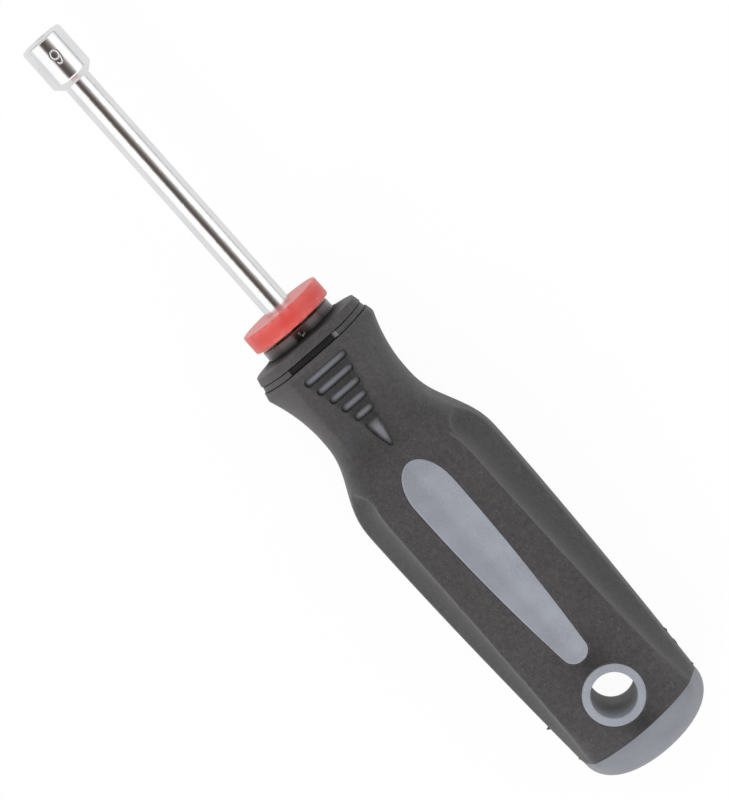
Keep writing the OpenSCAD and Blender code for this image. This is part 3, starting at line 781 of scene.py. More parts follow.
def halfWidth(x):
    # half of the full width across the sides, as alongGrip runs
    g = grip
    return alongGrip(x, g["rimW"], g["headW"], g["waistW"], g["swellW"], g["tailW"]) / 2


def halfHeight(x):
    # half of the full height between the faces, as alongGrip runs
    g = grip
    return alongGrip(x, g["rimH"], g["headH"], g["waistH"], g["swellH"], g["tailH"]) / 2


def evenAlong(x, waist, swell, tail):
    # as alongGrip, with the waist's size from the rim to the waist
    return alongGrip(x, waist, waist, waist, swell, tail)


def halfFace(x):
    # half of the width of a face between its creases
    return evenAlong(x, grip["waistFace"], grip["swellFace"], grip["tailFace"]) / 2


def halfSide(x):
    # half of the height of a side wall between its creases
    return evenAlong(x, grip["waistSide"], grip["swellSide"], grip["tailSide"]) / 2


def fluteDepth(x, t):
    # facets rise at the waist and more so at the shoulder, then scoop down into hollow flutes; the
    # scoop's start is bowed, and the flute fades towards the butt
    lead = swellX - grip["fluteLead"]
    rise = mixed(grip["facetRise"], grip["shoulderRise"], easeStep((x - waistX) / (lead - waistX)))
    start = lead + grip["fluteBow"] * (2 * t - 1) ** 2
    depth = mixed(-rise, grip["fluteDeep"], easeStep((x - start) / grip["fluteRun"]))
    return depth * (1 - np.clip((x - swellX) / taperLen, 0, 1) ** 3)


def faceCrown(x):
    # fall of a face from its middle line to its creases
    return evenAlong(x, grip["waistCrown"], grip["swellCrown"], grip["tailCrown"])


def creaseSoft(x):
    # half length of the rounded crease beside the face: wide at the shoulder, crisp along the flutes,
    # wide at the butt
    start = swellX - grip["fluteLead"]
    wide = mixed(grip["waistCrease"], grip["shoulderCrease"], easeStep((x - waistX) / (start - waistX)))
    crisp = mixed(wide, grip["ridgeCrease"], easeStep((x - start) / grip["fluteBow"]))
    return mixed(crisp, grip["tailCrease"], easeStep((x - tailX) / grip["tailCreaseLen"] + 1))


def faceHeight(x, y, depth):
    # height of the crowned face above the drive axis
    return halfHeight(x) - depth - faceCrown(x) * (y / halfFace(x)) ** 2


# Columns of a quarter of the section
columns = {"panel": 12, "face": 4, "crease": 6, "facet": 12, "side": 5}
quarterCount = sum(columns.values()) + columns["crease"] + 1
roundCount = 4 * quarterCount
frontAndBack = ((1, 0), (-1, roundCount // 2))  # sign of z and middle column of each face


def mirrored(quarter, signs=(1, 1, 1, 1)):
    # a quarter of the section carried round to a whole ring, with a sign for each quarter
    n = quarterCount
    there, back = quarter[:, :n], quarter[:, n:0:-1]
    return np.concatenate([part * sign for part, sign in zip((there, back, there, back), signs)], 1)


def sectionRings(x, depth):
    # one ring of (y, z) for each x: crowned face, rounded crease, facet or flute, rounded crease, bowed
    # side wall
    x, depth = x[:, None], depth[:, None]
    w, h, f, s = halfWidth(x) - depth, halfHeight(x) - depth, halfFace(x), halfSide(x)
    crown, bow = faceCrown(x), grip["sideCrown"]
    panel = evenAlong(x, grip["panelWaist"], grip["panelSwell"], grip["panelTail"])
    soft = np.minimum(creaseSoft(x), f - panel - 0.1)
    a, b = np.stack([f, h - crown], -1), np.stack([w - bow, s], -1)
    run = np.linalg.norm(b - a, axis=-1)
    out = np.stack([a[..., 1] - b[..., 1], b[..., 0] - a[..., 0]], -1) / run[..., None]
    share = np.minimum(soft / run, 0.35)
    low = np.minimum(soft, grip["sideCrease"]) / run

    def face(y):
        return np.stack([y + 0 * h, h - crown * (y / f) ** 2], -1)

    def facet(t):
        bulge = 4 * fluteDepth(x, t) * t * (1 - t)
        return mixed(a, b, t[..., None]) - bulge[..., None] * out

    def side(t):
        return np.stack([w - bow * t * t, s * t], -1)

    def steps(n):
        return np.arange(n)[None, :] / n

    c = columns
    bend = steps(c["crease"])[..., None]
    last = 1 - low * run / s
    sideT = np.append(np.linspace(1, 0.04, c["side"] + 1), 0.0)[None, :]
    quarter = np.concatenate([
        face(panel * steps(c["panel"])),
        face(panel + (f - soft - panel) * steps(c["face"])),
        bezier(face(f - soft), a, facet(share), bend),
        facet(share + (1 - low - share) * steps(c["facet"])),
        bezier(facet(1 - low), b, side(last), bend),
        side(last * sideT)], 1)
    quarter[:, -1, 0] += np.where(depth[:, 0] < 0.2, grip["partingRise"], 0)
    y, z = mirrored(quarter[..., 0], (1, 1, -1, -1)), mirrored(quarter[..., 1], (1, -1, -1, 1))
    return np.stack([y, z], -1)


def liningPoints(x):
    # the section one skin below the outside: the rubber's lining and the core's body
    return placed(x, sectionRings(x, np.full(len(x), grip["skin"])))


def creaseMask():
    # 1 on the rounded creases, 0 elsewhere, for the columns of a whole ring
    c = columns
    bump = np.sin(np.pi * np.arange(c["crease"]) / c["crease"]) ** 3
    quarter = [np.zeros(c["panel"] + c["face"]), bump, np.zeros(c["facet"]), 0.6 * bump,
               np.zeros(c["side"] + 2)]
    return mirrored(np.concatenate(quarter)[None])


def fluteMask():
    # 1 in the middle of the flutes, 0 on the faces and side walls
    c = columns
    hollow = np.sin(np.pi * (np.arange(c["facet"]) + 0.5) / c["facet"])
    quarter = [np.zeros(c["panel"] + c["face"] + c["crease"]), hollow,
               np.zeros(c["crease"] + c["side"] + 2)]
    return mirrored(np.concatenate(quarter)[None])


def placed(x, rings):
    # rings of (y, z) about the drive axis become points in the frame; near the butt's seam they bow
    # towards the sides
    reach = eyelet["outerD"] / 2 + eyelet["margin"]
    toSeam, fromSeam = (x - holeX - reach) / (tailX - holeX - reach), (endX - x) / (endX - tailX)
    near = np.clip(toSeam, 0, 1) * np.clip(fromSeam, 0, 1)
    bow = grip["seamBow"] * near[:, None] * (rings[..., 0] / (grip["tailW"] / 2)) ** 2
    return np.stack([x[:, None] - bow, rings[..., 0], axisZ + rings[..., 1]], -1)


def spread(start, stop, count):
    # even steps from start to stop, without the last
    return np.linspace(start, stop, count + 1)[:-1]


def slotEdges():
    # x of the lines half a pitch before and behind each slot
    return slotX + slots["pitch"] * (np.arange(slots["count"] + 1) - 0.5)


def windowSpans():
    # first and last x of the rectangle that holds each window, with its number of rows
    edges = slotEdges()
    spans = [(edges[i], edges[i + 1], slots["rows"]) for i in range(slots["count"])]
    spans.append((edges[-1], arrowX + arrow["long"] + arrow["margin"], arrow["rows"]))
    spans.append((inlayX - inlay["margin"], inlayEndX + inlay["margin"], inlay["rows"]))
    reach = eyelet["outerD"] / 2 + eyelet["margin"]
    spans.append((holeX - reach, holeX + reach, eyelet["rows"]))
    return spans


def bodyRows():
    # x of the rows from the stem's shoulder to the butt; every window rectangle starts and ends on a row
    here, rowStep, tuckX = slotEdges()[0], 0.6, tailX - grip["tuckLen"]
    parts = [spread(stemX, here, 2)]
    for first, last, rows in windowSpans():
        if first - here > 1e-6:
            parts.append(spread(here, first, max(1, int(round((first - here) / rowStep)))))
        parts.append(spread(first, last, rows))
        here = last
    parts.append(spread(here, tuckX, 3))
    return np.concatenate(parts + [[tuckX, tailX - 0.12, tailX]])


def rectangleLoop(ids, rowAt, rows, middle):
    # vertex numbers round a rectangle of the grid, centred on a column
    p = columns["panel"]
    cols = np.arange(middle - p, middle + p + 1) % roundCount
    a, b = rowAt, rowAt + rows
    there = [ids[a, cols[:-1]], ids[a:b, cols[-1]]]
    back = [ids[b, cols[:0:-1]], ids[b:a:-1, cols[0]]]
    return np.concatenate(there + back)


def nearestOn(outline, spots):
    # closest point of a dense closed outline to each spot, and the outward normal there
    tangent = np.roll(outline, -1, 0) - np.roll(outline, 1, 0)
    normal = np.stack([tangent[:, 1], -tangent[:, 0]], 1) / np.linalg.norm(tangent, axis=1)[:, None]
    pick = ((spots[:, None] - outline[None]) ** 2).sum(-1).argmin(1)
    return outline[pick], normal[pick]


def arcOf(centre, radius, start, stop, count):
    # points of a circle's arc between two angles
    a = np.linspace(start, stop, count)
    return np.array(centre) + radius * np.stack([np.cos(a), np.sin(a)], 1)


def slotSpine(i):
    # ends of a slot's middle line; each slot is shorter than the one before
    x, reach = slotX + slots["pitch"] * i, (slots["long"] - slots["less"] * i - slots["width"]) / 2
    return (x, -reach), (x, reach)


def slotOutline(i):
    # stadium across the grip
    (x, low), (_, high) = slotSpine(i)
    r, count = slots["width"] / 2, 120
    upper = arcOf((x, high), r, 0, np.pi, 90)
    lower = arcOf((x, low), r, np.pi, 2 * np.pi, 90)
    rise = np.linspace(low, high, count + 2)[1:-1]
    left = np.stack([np.full(count, x - r), rise[::-1]], 1)
    right = np.stack([np.full(count, x + r), rise], 1)
    return np.concatenate([upper, left, lower, right])


def innerSteps(count):
    # even steps between 0 and 1 without the ends
    return np.linspace(0, 1, count + 2)[1:-1, None]


def bowed(a, b, bow, count):
    # from a to b, bowed sideways by a parabola
    t = innerSteps(count)
    return mixed(a, b, t) + 4 * bow * t * (1 - t) * np.array([0.0, 1.0])


def arrowOutline():
    # long triangle with rounded corners and slightly bowed sides that points to the butt
    half, r, right = math.atan(arrow["wide"] / 2 / arrow["long"]), arrow["rounding"], math.pi / 2
    baseY = arrow["wide"] / 2 - r / math.tan((right - half) / 2)
    tip = arcOf((arrowX + arrow["long"] - r / math.sin(half), 0), r, half - right, right - half, 60)
    up = arcOf((arrowX + r, baseY), r, right - half, math.pi, 60)
    down = arcOf((arrowX + r, -baseY), r, math.pi, 3 * right + half, 60)
    base = mixed(up[-1], down[0], innerSteps(60))
    return np.concatenate([tip, bowed(tip[-1], up[0], arrow["bow"], 120), up, base, down,
                           bowed(down[-1], tip[0], -arrow["bow"], 120)])


def inlayOutline():
    # half ellipse at the nose, sides that close in and bow outwards by a parabola, rounded rear corners
    a = np.linspace(np.pi / 2, 1.5 * np.pi, 240)
    nose = np.stack([inlayX + inlay["nose"] * (1 + np.cos(a)), inlay["wide"] / 2 * np.sin(a)], 1)
    r = inlay["rounding"]
    rearY = inlay["endWide"] / 2 - r
    lower = arcOf((inlayEndX - r, -rearY), r, -np.pi / 2, 0, 80)
    upper = arcOf((inlayEndX - r, rearY), r, 0, np.pi / 2, 80)
    return np.concatenate([nose, bowed(nose[-1], lower[0], -inlay["bow"], 400), lower,
                           mixed(lower[-1], upper[0], innerSteps(20)), upper,
                           bowed(upper[-1], nose[0], inlay["bow"], 400)])


def eyeletOutline():
    # full circle of the eyelet's outer edge
    return arcOf((holeX, 0), eyelet["outerD"] / 2, 0, 2 * np.pi, 721)[:-1]


def patchRing(store, spots, depth, face, edge=0.0, paintedLight=0.0):
    # one ring of points at a depth below the face; face is +1 for the front and -1 for the back
    x, y = spots[:, 0], spots[:, 1]
    height = axisZ + face * faceHeight(x, y, depth)
    return addPoints(store, np.stack([x, y, height], -1), edge, paintedLight)


def seatedOn(store, loop, outline):
    # (x, y) of a rectangle's vertices, their closest points on the outline, and its normals there
    spots = np.concatenate(store["points"])[loop][:, :2]
    return (spots, *nearestOn(outline, spots))


def liningRings(store, spots, on, face, steps):
    # rings on the lining, between the rectangle and the outline, in full painted shade
    return [patchRing(store, mixed(spots, on, t), grip["skin"], face, 0.0, 1.0) for t in steps]


def fadeIn(distance, shift, run):
    # quintic step over a run, moved by a shift
    return easeStep((distance + shift) / run)


def paintedFaceShade(x, y):
    # painted shade: an even darkening on the waist's faces, inside their creases and more on one half,
    # darker shade between the slots, and a dark patch round the eyelet that fades out to both sides
    g, start, stop = paintedShade, slotEdges()[0], arrowX + arrow["long"]
    reach = (slots["long"] - slots["less"] * (x - slotX) / slots["pitch"]) / 2
    inside = fadeIn(x - start, *g["betweenStart"]) * fadeIn(stop - x, *g["betweenEnd"])
    between = g["between"] * inside * fadeIn(reach - np.abs(y), *g["betweenSide"])
    nearWaist = fadeIn(x - start, *g["waistShadeStart"]) * fadeIn(stop - x, *g["waistShadeEnd"])
    waistShade = (g["waistShade"] - g["waistShadeTilt"] * np.clip(y / g["waistShadeHalf"], -1, 1)) * nearWaist
    waistShade = waistShade * fadeIn(halfFace(x) - np.abs(y), *g["waistShadeSide"])
    byHole = g["hole"] * np.exp(-((y - g["holeOff"]) / g["holeWide"]) ** 2)
    byHole = byHole * fadeIn(x - inlayEndX, *g["holeStart"])
    return np.maximum(np.maximum(between, waistShade), byHole)


def cutWindow(store, outerLoop, innerLoop, outline, face, shaded):
    # from the grid's rectangle in to the outline, over a small rim, down the wall, and out to the
    # lining's rectangle; painted shade lies round the slots and the arrow and down every window's wall
    spots, on, normal = seatedOn(store, outerLoop, outline)
    soft, skin = grip["rimSoft"], grip["skin"]
    rings = [outerLoop]
    for t in (0.45, 0.8, 0.95):
        around = mixed(spots, on + soft * normal, t)
        shade = np.maximum(shaded * paintedShade["window"] * t * t, paintedFaceShade(around[:, 0], around[:, 1]))
        rings.append(patchRing(store, around, 0.0, face, 0.0, shade))
    for angle in np.radians([0, 30, 60, 90]):
        rim = on + soft * (1 - np.sin(angle)) * normal
        worn = wearAndHighlight["window"] * (1 - shaded) * np.cos(angle)
        shade = shaded * mixed(paintedShade["rim"], 1, np.sin(angle))
        rings.append(patchRing(store, rim, soft * (1 - np.cos(angle)), face, worn, shade))
    rings += [patchRing(store, on, skin * t, face, 0.0, t) for t in (0.5, 1.0)]
    rings += liningRings(store, spots, on, face, (0.9, 0.5)) + [innerLoop]
    addFaces(store, quadGrid(np.array(rings), wrapCols=True))


def keptQuads(ids, windows):
    # the grid's quads without those inside the window rectangles, front and back
    quads = quadGrid(ids, wrapCols=True)
    keep = np.ones(quads.shape[:2], bool)
    p = columns["panel"]
    for rowAt, rows in windows:
        for _, middle in frontAndBack:
            keep[rowAt:rowAt + rows, np.arange(middle - p, middle + p) % roundCount] = False
    return quads[keep]


def windowRows(x):
    # row number and row count of each window rectangle in the list of rows
    return [(int(np.abs(x - first).argmin()), rows) for first, _, rows in windowSpans()]


def grooveRows():
    # (x, depth, share of the pocket) through the ring groove: slit, flat band, slit
    start, deep, slitDeep = gripX + grip["grooveAt"], grip["grooveDeep"], grip["slitDeep"]
    stop = start + grip["slitW"]
    near = [(start - 0.08, 0, 0), (start, 0.03, 0), (start + 0.05, slitDeep, 1),
            (stop - 0.05, slitDeep, 1), (stop, deep, 1), (stop + 0.06, deep, 1)]
    middle = start + grip["grooveW"] / 2
    far = [(2 * middle - x, depth, pocket) for x, depth, pocket in near[::-1]]
    return np.array(near + [(middle, deep, 1)] + far)


def frontRows():
    # rows of the grip in front of the stem's shoulder: land, bevel, rim, groove, up to the head
    groove = grooveRows()
    bevel = gripX + grip["bevelLen"] * np.array([0.0, 0.1, 0.4, 0.7, 0.85, 0.92, 1.0, 1.08, 1.15, 1.5])
    rim = np.stack([bevel, 0 * bevel, 0 * bevel], 1)
    toStem = np.stack([np.linspace(groove[-1, 0] + 0.2, stemX - 0.25, 3), np.zeros(3), np.zeros(3)], 1)
    return np.concatenate([rim, groove, toStem])


def coneFront(x, rings):
    # rows up to the rim lie on a blunt cone, so the rim is farther back at the sides than on the faces
    radius, run = np.linalg.norm(rings, axis=-1), 0.3
    cone = (2 * radius - grip["landW"]) / (grip["rimW"] - grip["landW"])
    cone = gripX + grip["bevelLen"] * np.clip(cone, 0, 1.2)
    fade = np.clip((x - rimX) / run, 0, 1)[:, None]
    return np.where(x[:, None] < rimX + run, mixed(cone, x[:, None], fade), x[:, None])


def bevelScale(x):
    # the rings in front of the rim shrink in a straight bevel with a softened corner
    t = np.clip((rimX - x) / grip["bevelLen"], -0.2, 1)
    soft = 0.15
    eased = np.where(t > soft, t, np.where(t > -soft, (t + soft) ** 2 / (4 * soft), 0))
    return 1 - (1 - grip["landW"] / grip["rimW"]) * eased


def gripRows():
    # x, depth and share of the pocket of all rows; the last ones tuck in at the butt's seam
    front, body = frontRows(), bodyRows()
    rows = np.concatenate([front, np.stack([body, 0 * body, 0 * body], 1)])
    tuck = np.clip((rows[:, 0] - tailX) / grip["tuckLen"] + 1, 0, 1) ** 2 * grip["tuckDeep"]
    return rows[:, 0], rows[:, 1] + tuck, rows[:, 2]


def gripRings(x, depth, pocket):
    # sections that shrink in the bevel but stay outside the neck, with flash nibs on the parting line;
    # the pocket sinks the groove's band where it crosses the front and back faces, with a ramp at each
    # end
    rings = sectionRings(np.maximum(x, rimX), depth) * bevelScale(x)[:, None, None]
    rings *= np.maximum(1, (neckR + grip["neckGap"]) / np.linalg.norm(rings, axis=-1))[..., None]
    for side, place, tall, wide in nibs:
        bump = tall * np.exp(-((x - tailX + place) / wide) ** 4)
        rings[:, quarterCount if side > 0 else 3 * quarterCount, 0] += side * bump
    far = rings[..., 0] > 0
    floorEnd = np.where(far, grip["pocketFar"], grip["pocketNear"])
    rampLen = np.where(far, grip["rampFar"], grip["rampNear"])
    ramp = np.clip(1 - (np.abs(rings[..., 0]) - floorEnd) / rampLen, 0, 1)
    onFace = np.abs(rings[..., 1]) > halfSide(x)[:, None]
    sink = grip["pocketDeep"] * ramp * onFace * pocket[:, None]
    rings[..., 1] -= np.sign(rings[..., 1]) * sink
    return rings, onFace, sink


def gripMasks(x, depth, rings, onFace, sink):
    # wear: creases along the flutes, with a painted highlight on them, less towards the butt, the rim;
    # painted light: the pocket's ramps; painted shade: the slits, the pocket's floor, the land beside the
    # neck, a little in the flutes, on the waist's faces and between the slots
    column = x[:, None]
    fluted = easeStep((column - swellX + grip["fluteLead"] - 0.5 * grip["fluteBow"]) / grip["fluteRun"])
    rubbedAndLit = mixed(wearAndHighlight["tailShare"], 1, easeStep((tailX - column) / wearAndHighlight["tailRun"]))
    floor = sink > 0.93 * grip["pocketDeep"]
    slit = np.clip((depth - grip["grooveDeep"]) / (grip["slitDeep"] - grip["grooveDeep"]), 0, 1)[:, None]
    edge = wearAndHighlight["crease"] * creaseMask() * fluted * rubbedAndLit
    edge = np.where(np.abs(column - rimX) < 0.1, wearAndHighlight["rim"], edge)
    # painted light on the pocket's ramps
    edge = np.where((sink > 0.02) & ~floor & (slit < 0.5), 1.0, edge)
    land = 1 - easeStep((np.linalg.norm(rings, axis=-1) - neckR) / paintedShade["landRun"])
    paintedLight = np.maximum(slit, floor * paintedShade["pocket"])
    paintedLight = np.maximum(paintedLight, np.where(column <= rimX + 0.5, land, 0))
    paintedLight = np.maximum(paintedLight, paintedShade["flute"] * fluteMask() * fluted)
    return edge, np.maximum(paintedLight, paintedFaceShade(column, rings[..., 0]) * onFace)


def buildGrip():
    # outside and lining are two grids with the same windows cut out; they join at the windows, at the
    # butt's seam and along the neck's bore
    x, depth, pocket = gripRows()
    rings, onFace, sink = gripRings(x, depth, pocket)
    points = placed(x, rings)
    points[..., 0] += coneFront(x, rings) - x[:, None]
    # a soft lip lies on the neck
    lip = 1 - easeStep((np.linalg.norm(rings, axis=-1) - neckR) / grip["lipRun"])
    points[..., 0] -= np.where(x[:, None] <= rimX, grip["lipLen"] * lip, 0)
    store = newStore()
    outer = addPoints(store, points, *gripMasks(x, depth, rings, onFace, sink))
    frontCount = len(frontRows())
    body, bodyX = outer[frontCount:], x[frontCount:]
    inner = addPoints(store, liningPoints(bodyX))
    around = np.arctan2(rings[0, :, 1], rings[0, :, 0])
    boreR = neckR + bolster["fitGap"]
    boreLine = np.array([(stemX, boreR), (gripX - grip["lipLen"], boreR)])
    # the bore lies in full painted shade
    bore = addPoints(store, turned(boreLine, around), 0.0, 1.0)
    windows = windowRows(bodyX)
    addFaces(store, quadGrid(outer[:frontCount + 1], wrapCols=True))
    addFaces(store, keptQuads(body, windows))
    addFaces(store, keptQuads(inner, windows))
    addFaces(store, quadGrid(np.array([outer[-1], inner[-1]]), wrapCols=True))
    addFaces(store, quadGrid(np.array([inner[0], bore[0], bore[1], outer[0]]), wrapCols=True))
    outlines = [slotOutline(i) for i in range(slots["count"])]
    outlines += [arrowOutline(), inlayOutline(), eyeletOutline()]
    for i, ((rowAt, rows), outline) in enumerate(zip(windows, outlines)):
        for face, middle in frontAndBack:
            loops = [rectangleLoop(grid, rowAt, rows, middle) for grid in (body, inner)]
            cutWindow(store, *loops, outline, face, float(i <= slots["count"]))
    makePiece("rubberGrip", store, rubberFinish(), "rubber_grip")


padEdge = {"seamDepth": 0.45, "seamShade": 0.9, "wear": 0.5, "paintedLight": 0.5}


def wallAndEdge(store, on, normal, soft, proud, face, angles):
    # up the wall of a raised pad and over its rounded edge, with painted shade in the seam and low on the
    # edge, and wear on the edge
    rings = [patchRing(store, on, padEdge["seamDepth"], face, 0.0, padEdge["seamShade"])]
    for angle in np.radians(angles):
        inset = on - soft * (1 - np.cos(angle)) * normal
        worn, shade = padEdge["wear"] * np.sin(2 * angle), padEdge["paintedLight"] * np.cos(angle) ** 2
        rings.append(patchRing(store, inset, soft * (1 - np.sin(angle)) - proud, face, worn, shade))
    return rings


def raisePad(store, loop, outline, face):
    # inlay pad: in to the outline on the body, up the wall, over a rounded edge, then a crowned top to
    # its middle line; the back pad, on which the tool lies, is flush; one half of each pad is a little
    # darker, a painted shade
    spots, on, normal = seatedOn(store, loop, outline)
    on = on - inlay["seamGap"] * normal
    soft = inlay["edgeRound"]
    proud, crown = (inlay["proud"], inlay["crown"]) if face > 0 else (0.0, 0.0)
    first, last = inlayX + inlay["wide"] * inlay["noseShare"], inlayEndX - inlay["endWide"] / 2
    middleX = np.clip(on[:, 0], first, last)
    middle = np.stack([middleX, 0 * middleX], 1)
    rings = [loop] + liningRings(store, spots, on, face, (0.5, 1.0))
    rings += wallAndEdge(store, on, normal, soft, proud, face, [0, 22, 45, 68, 90])
    for t in (0.06, 0.14, 0.25, 0.4, 0.55, 0.7, 0.85, 1.0):
        inwards = mixed(on - soft * normal, middle, t)
        # painted shade: one half of the pad is darker
        dull = inlay["dull"] * easeStep((inlay["shadeFrom"] - inwards[:, 1]) / inlay["shadeRun"])
        rings.append(patchRing(store, inwards, -proud - crown * (1 - (1 - t) ** 2), face, 0.0, dull))
    addFaces(store, quadGrid(np.array(rings), wrapCols=True))


def raiseRib(store, loop, outline, spine, face, floorShade=1.0):
    # rib of the core in a slot or the arrow: up the slot's wall to a shallow floor that closes on its
    # spine, in painted shade that grows towards the spine's ends
    spots, on, normal = seatedOn(store, loop, outline)
    on = on - rib["gap"] * normal
    middle = np.clip(on, *spine)
    if spine[0][0] == spine[1][0]:  # both sides of a slot close on the same points
        here = np.arange(1, 2 * columns["panel"])
        middle[len(loop) // 2 + 2 * columns["panel"] - here] = middle[here]
    half = np.subtract(spine[1], spine[0]) / 2
    far = np.linalg.norm(middle - spine[0] - half, axis=1) / np.linalg.norm(half)
    rings = [loop] + liningRings(store, spots, on, face, (0.5, 1.0))
    rings += [patchRing(store, mixed(on, middle, t), slots["deep"], face, 0.0, 1.0) for t in (0.0, 0.28)]
    # painted shade on the floor, darker towards the ends
    for t, paintedLight in rib["floor"]:
        shade = np.minimum(paintedLight * floorShade + rib["endShade"] * far ** 6, 1)
        rings.append(patchRing(store, mixed(on, middle, t), slots["deep"], face, 0.0, shade))
    addFaces(store, quadGrid(np.array(rings), wrapCols=True))


def raiseEyelet(store, loop, outline, face):
    # eyelet: up from the body to a flat annulus with rounded edges, then down the hole's wall, which
    # leans in a little towards the parting line at half depth; the wall's rear half is darker, a painted
    # shade
    spots, _, normal = seatedOn(store, loop, outline)
    outerR, holeR = eyelet["outerD"] / 2 - eyelet["seamGap"], eyelet["holeD"] / 2
    proud, soft = eyelet["proud"], eyelet["edgeRound"]

    def circle(r):
        return np.array([holeX, 0.0]) + r * normal

    rings = [loop] + liningRings(store, spots, circle(outerR), face, (0.5, 1.0))
    rings += wallAndEdge(store, circle(outerR), normal, soft, proud, face, [0, 30, 60, 90])
    for t in (0.3, 0.7):
        rings.append(patchRing(store, circle(mixed(outerR - soft, holeR + soft, t)), -proud, face))
    for angle in np.radians([90, 60, 30, 0]):
        edge, worn = circle(holeR + soft * (1 - np.cos(angle))), eyelet["holeWear"] * np.sin(2 * angle)
        rings.append(patchRing(store, edge, soft * (1 - np.sin(angle)) - proud, face, worn))
    for t in (0.2, 0.4, 0.6, 0.8, 1.0):
        x, y = circle(holeR - eyelet["wallLean"] * t).T
        height = axisZ + face * faceHeight(x, y, soft) * (1 - t)
        # painted shade: deeper down the wall, and all of the rear half
        inShade = np.clip((t - eyelet["wallLit"]) / (1 - eyelet["wallLit"]), 0, 1)
        shade = eyelet["wallShade"] * inShade if face > 0 else eyelet["backShade"]
        rings.append(addPoints(store, np.stack([x, y, height], -1), 0.0, shade))
    addFaces(store, quadGrid(np.array(rings), wrapCols=True))


def buttRings(t):
    # the tail section rounds over into an oval dome; t runs from the seam to the end
    tail = sectionRings(np.array([tailX]), np.zeros(1))[0]
    oval = tail / np.hypot(tail[:, 0] / halfWidth(tailX), tail[:, 1] / halfHeight(tailX))[:, None]
    dome = np.sqrt(1 - np.clip(t, 0, 1) ** grip["domePower"])
    shape = mixed(tail[None], oval[None], easeStep(t * grip["ovalPace"])[:, None, None])
    return shape * dome[:, None, None]


def buildCore():
    # body below the rubber, ribs, pads and eyelets up through its windows, domed butt, and the stem's
    # bore, all closed
    bodyX = bodyRows()
    store = newStore()
    body = addPoints(store, liningPoints(bodyX))
    t = np.sin(np.linspace(0, np.pi / 2, butt["rows"])[1:-1])
    rings = buttRings(np.concatenate([[0.0, 0.0], t]))
    tuck = np.concatenate([[butt["seamDeep"], 0.03], 0 * t])
    rings *= (1 - tuck / halfHeight(tailX))[:, None, None]
    seamX = tailX + butt["seamLen"]
    buttX = np.concatenate([[tailX + 0.01, seamX], seamX + (endX - seamX) * t])
    # painted shade on the butt, darker in the seam
    paintedLight = np.where(tuck > 0.1, butt["seamShade"], butt["paintedLight"])
    dome = addPoints(store, placed(buttX, rings), 0.0, paintedLight[:, None])
    around = np.arctan2(rings[0, :, 1], rings[0, :, 0])
    boreR = bolster["stemD"] / 2 + bolster["fitGap"]
    bore = addPoints(store, turned(np.array([(stemEndX, boreR), (stemX, boreR)]), around))
    windows = windowRows(bodyX)
    addFaces(store, keptQuads(body, windows))
    addFaces(store, quadGrid(np.vstack([body[-1:], dome]), wrapCols=True))
    addFaces(store, quadGrid(np.vstack([bore, body[:1]]), wrapCols=True))
    addFan(store, bore[0], (stemEndX, 0, axisZ))
    addFan(store, dome[-1], (endX, 0, axisZ), butt["paintedLight"])
    arrowSpine = ((arrowX + arrow["ribFrom"], 0), (arrowX + arrow["long"] - arrow["ribTo"], 0))
    for face, middle in frontAndBack:
        loops = [rectangleLoop(body, rowAt, rows, middle) for rowAt, rows in windows]
        for i in range(slots["count"]):
            raiseRib(store, loops[i], slotOutline(i), slotSpine(i), face)
        raiseRib(store, loops[-3], arrowOutline(), arrowSpine, face, arrow["floorShade"])
        raisePad(store, loops[-2], inlayOutline(), face)
        raiseEyelet(store, loops[-1], eyeletOutline(), face)
    makePiece("coreMoulding", store, coreFinish(), "handle_core")


buildSocket()
buildShaft()
buildRing()
buildBolster()
buildGrip()
buildCore()

# Studio: white floor, a tent that is dark behind the camera, a soft key from the left
studio = {
    "floorSize": 6.0, "floorDrop": 0.02, "whiteShare": 0.96, "mirrorShare": 0.7, "mirrorTone": 0.84,
    "floorColor": 0.86, "keyPower": 3.8, "keyPlace": (0.45, -0.75, 0.8), "keyAim": (0.02, 0, 0.015),
    "keySize": 0.5, "panelCentre": 13.0, "panelFrom": -0.24, "panelTo": 0.44, "panelSoft": 0.05,
    "panelHalf": (30.0, 40.0), "panelTint": (1.14, 0.97, 0.9), "tentTone": 1.22, "tipTone": 0.72,
    "tipFrom": -0.3, "tipTo": -0.42, "topLight": 1.15, "sideLight": 0.55, "lightFall": (20.0, 85.0),
}


def floorFinish():
    # paper that camera and glass rays see as nearly white, and that mirrors see a little darker
    finish, tree, shader, where = newFinish("paperFloor", {"Roughness": 0.9, "Specular IOR Level": 0.1})
    paper = noiseOf(tree, where, 40.0, 3.0)
    tint = blended(tree, paper, grey(studio["floorColor"] - 0.01), grey(studio["floorColor"] + 0.01))
    setInputs(tree, shader, {"Base Color": tint})
    path = addNode(tree, "LightPath").outputs
    direct = calc(tree, "MAXIMUM", path["Is Camera Ray"], path["Is Transmission Ray"])
    mirror = times(tree, path["Is Glossy Ray"], studio["mirrorShare"])
    share = calc(tree, "MAXIMUM", times(tree, direct, studio["whiteShare"]), mirror)
    level = mapped(tree, path["Is Glossy Ray"], 0.0, 1.0, 1.0, studio["mirrorTone"])
    glow = addNode(tree, "Emission", {"Color": grey(1.0), "Strength": level})
    mixer = addNode(tree, "MixShader", {0: share, 1: shader.outputs[0], 2: glow.outputs[0]})
    setInputs(tree, tree.nodes["Material Output"], {"Surface": mixer.outputs[0]})
    return finish


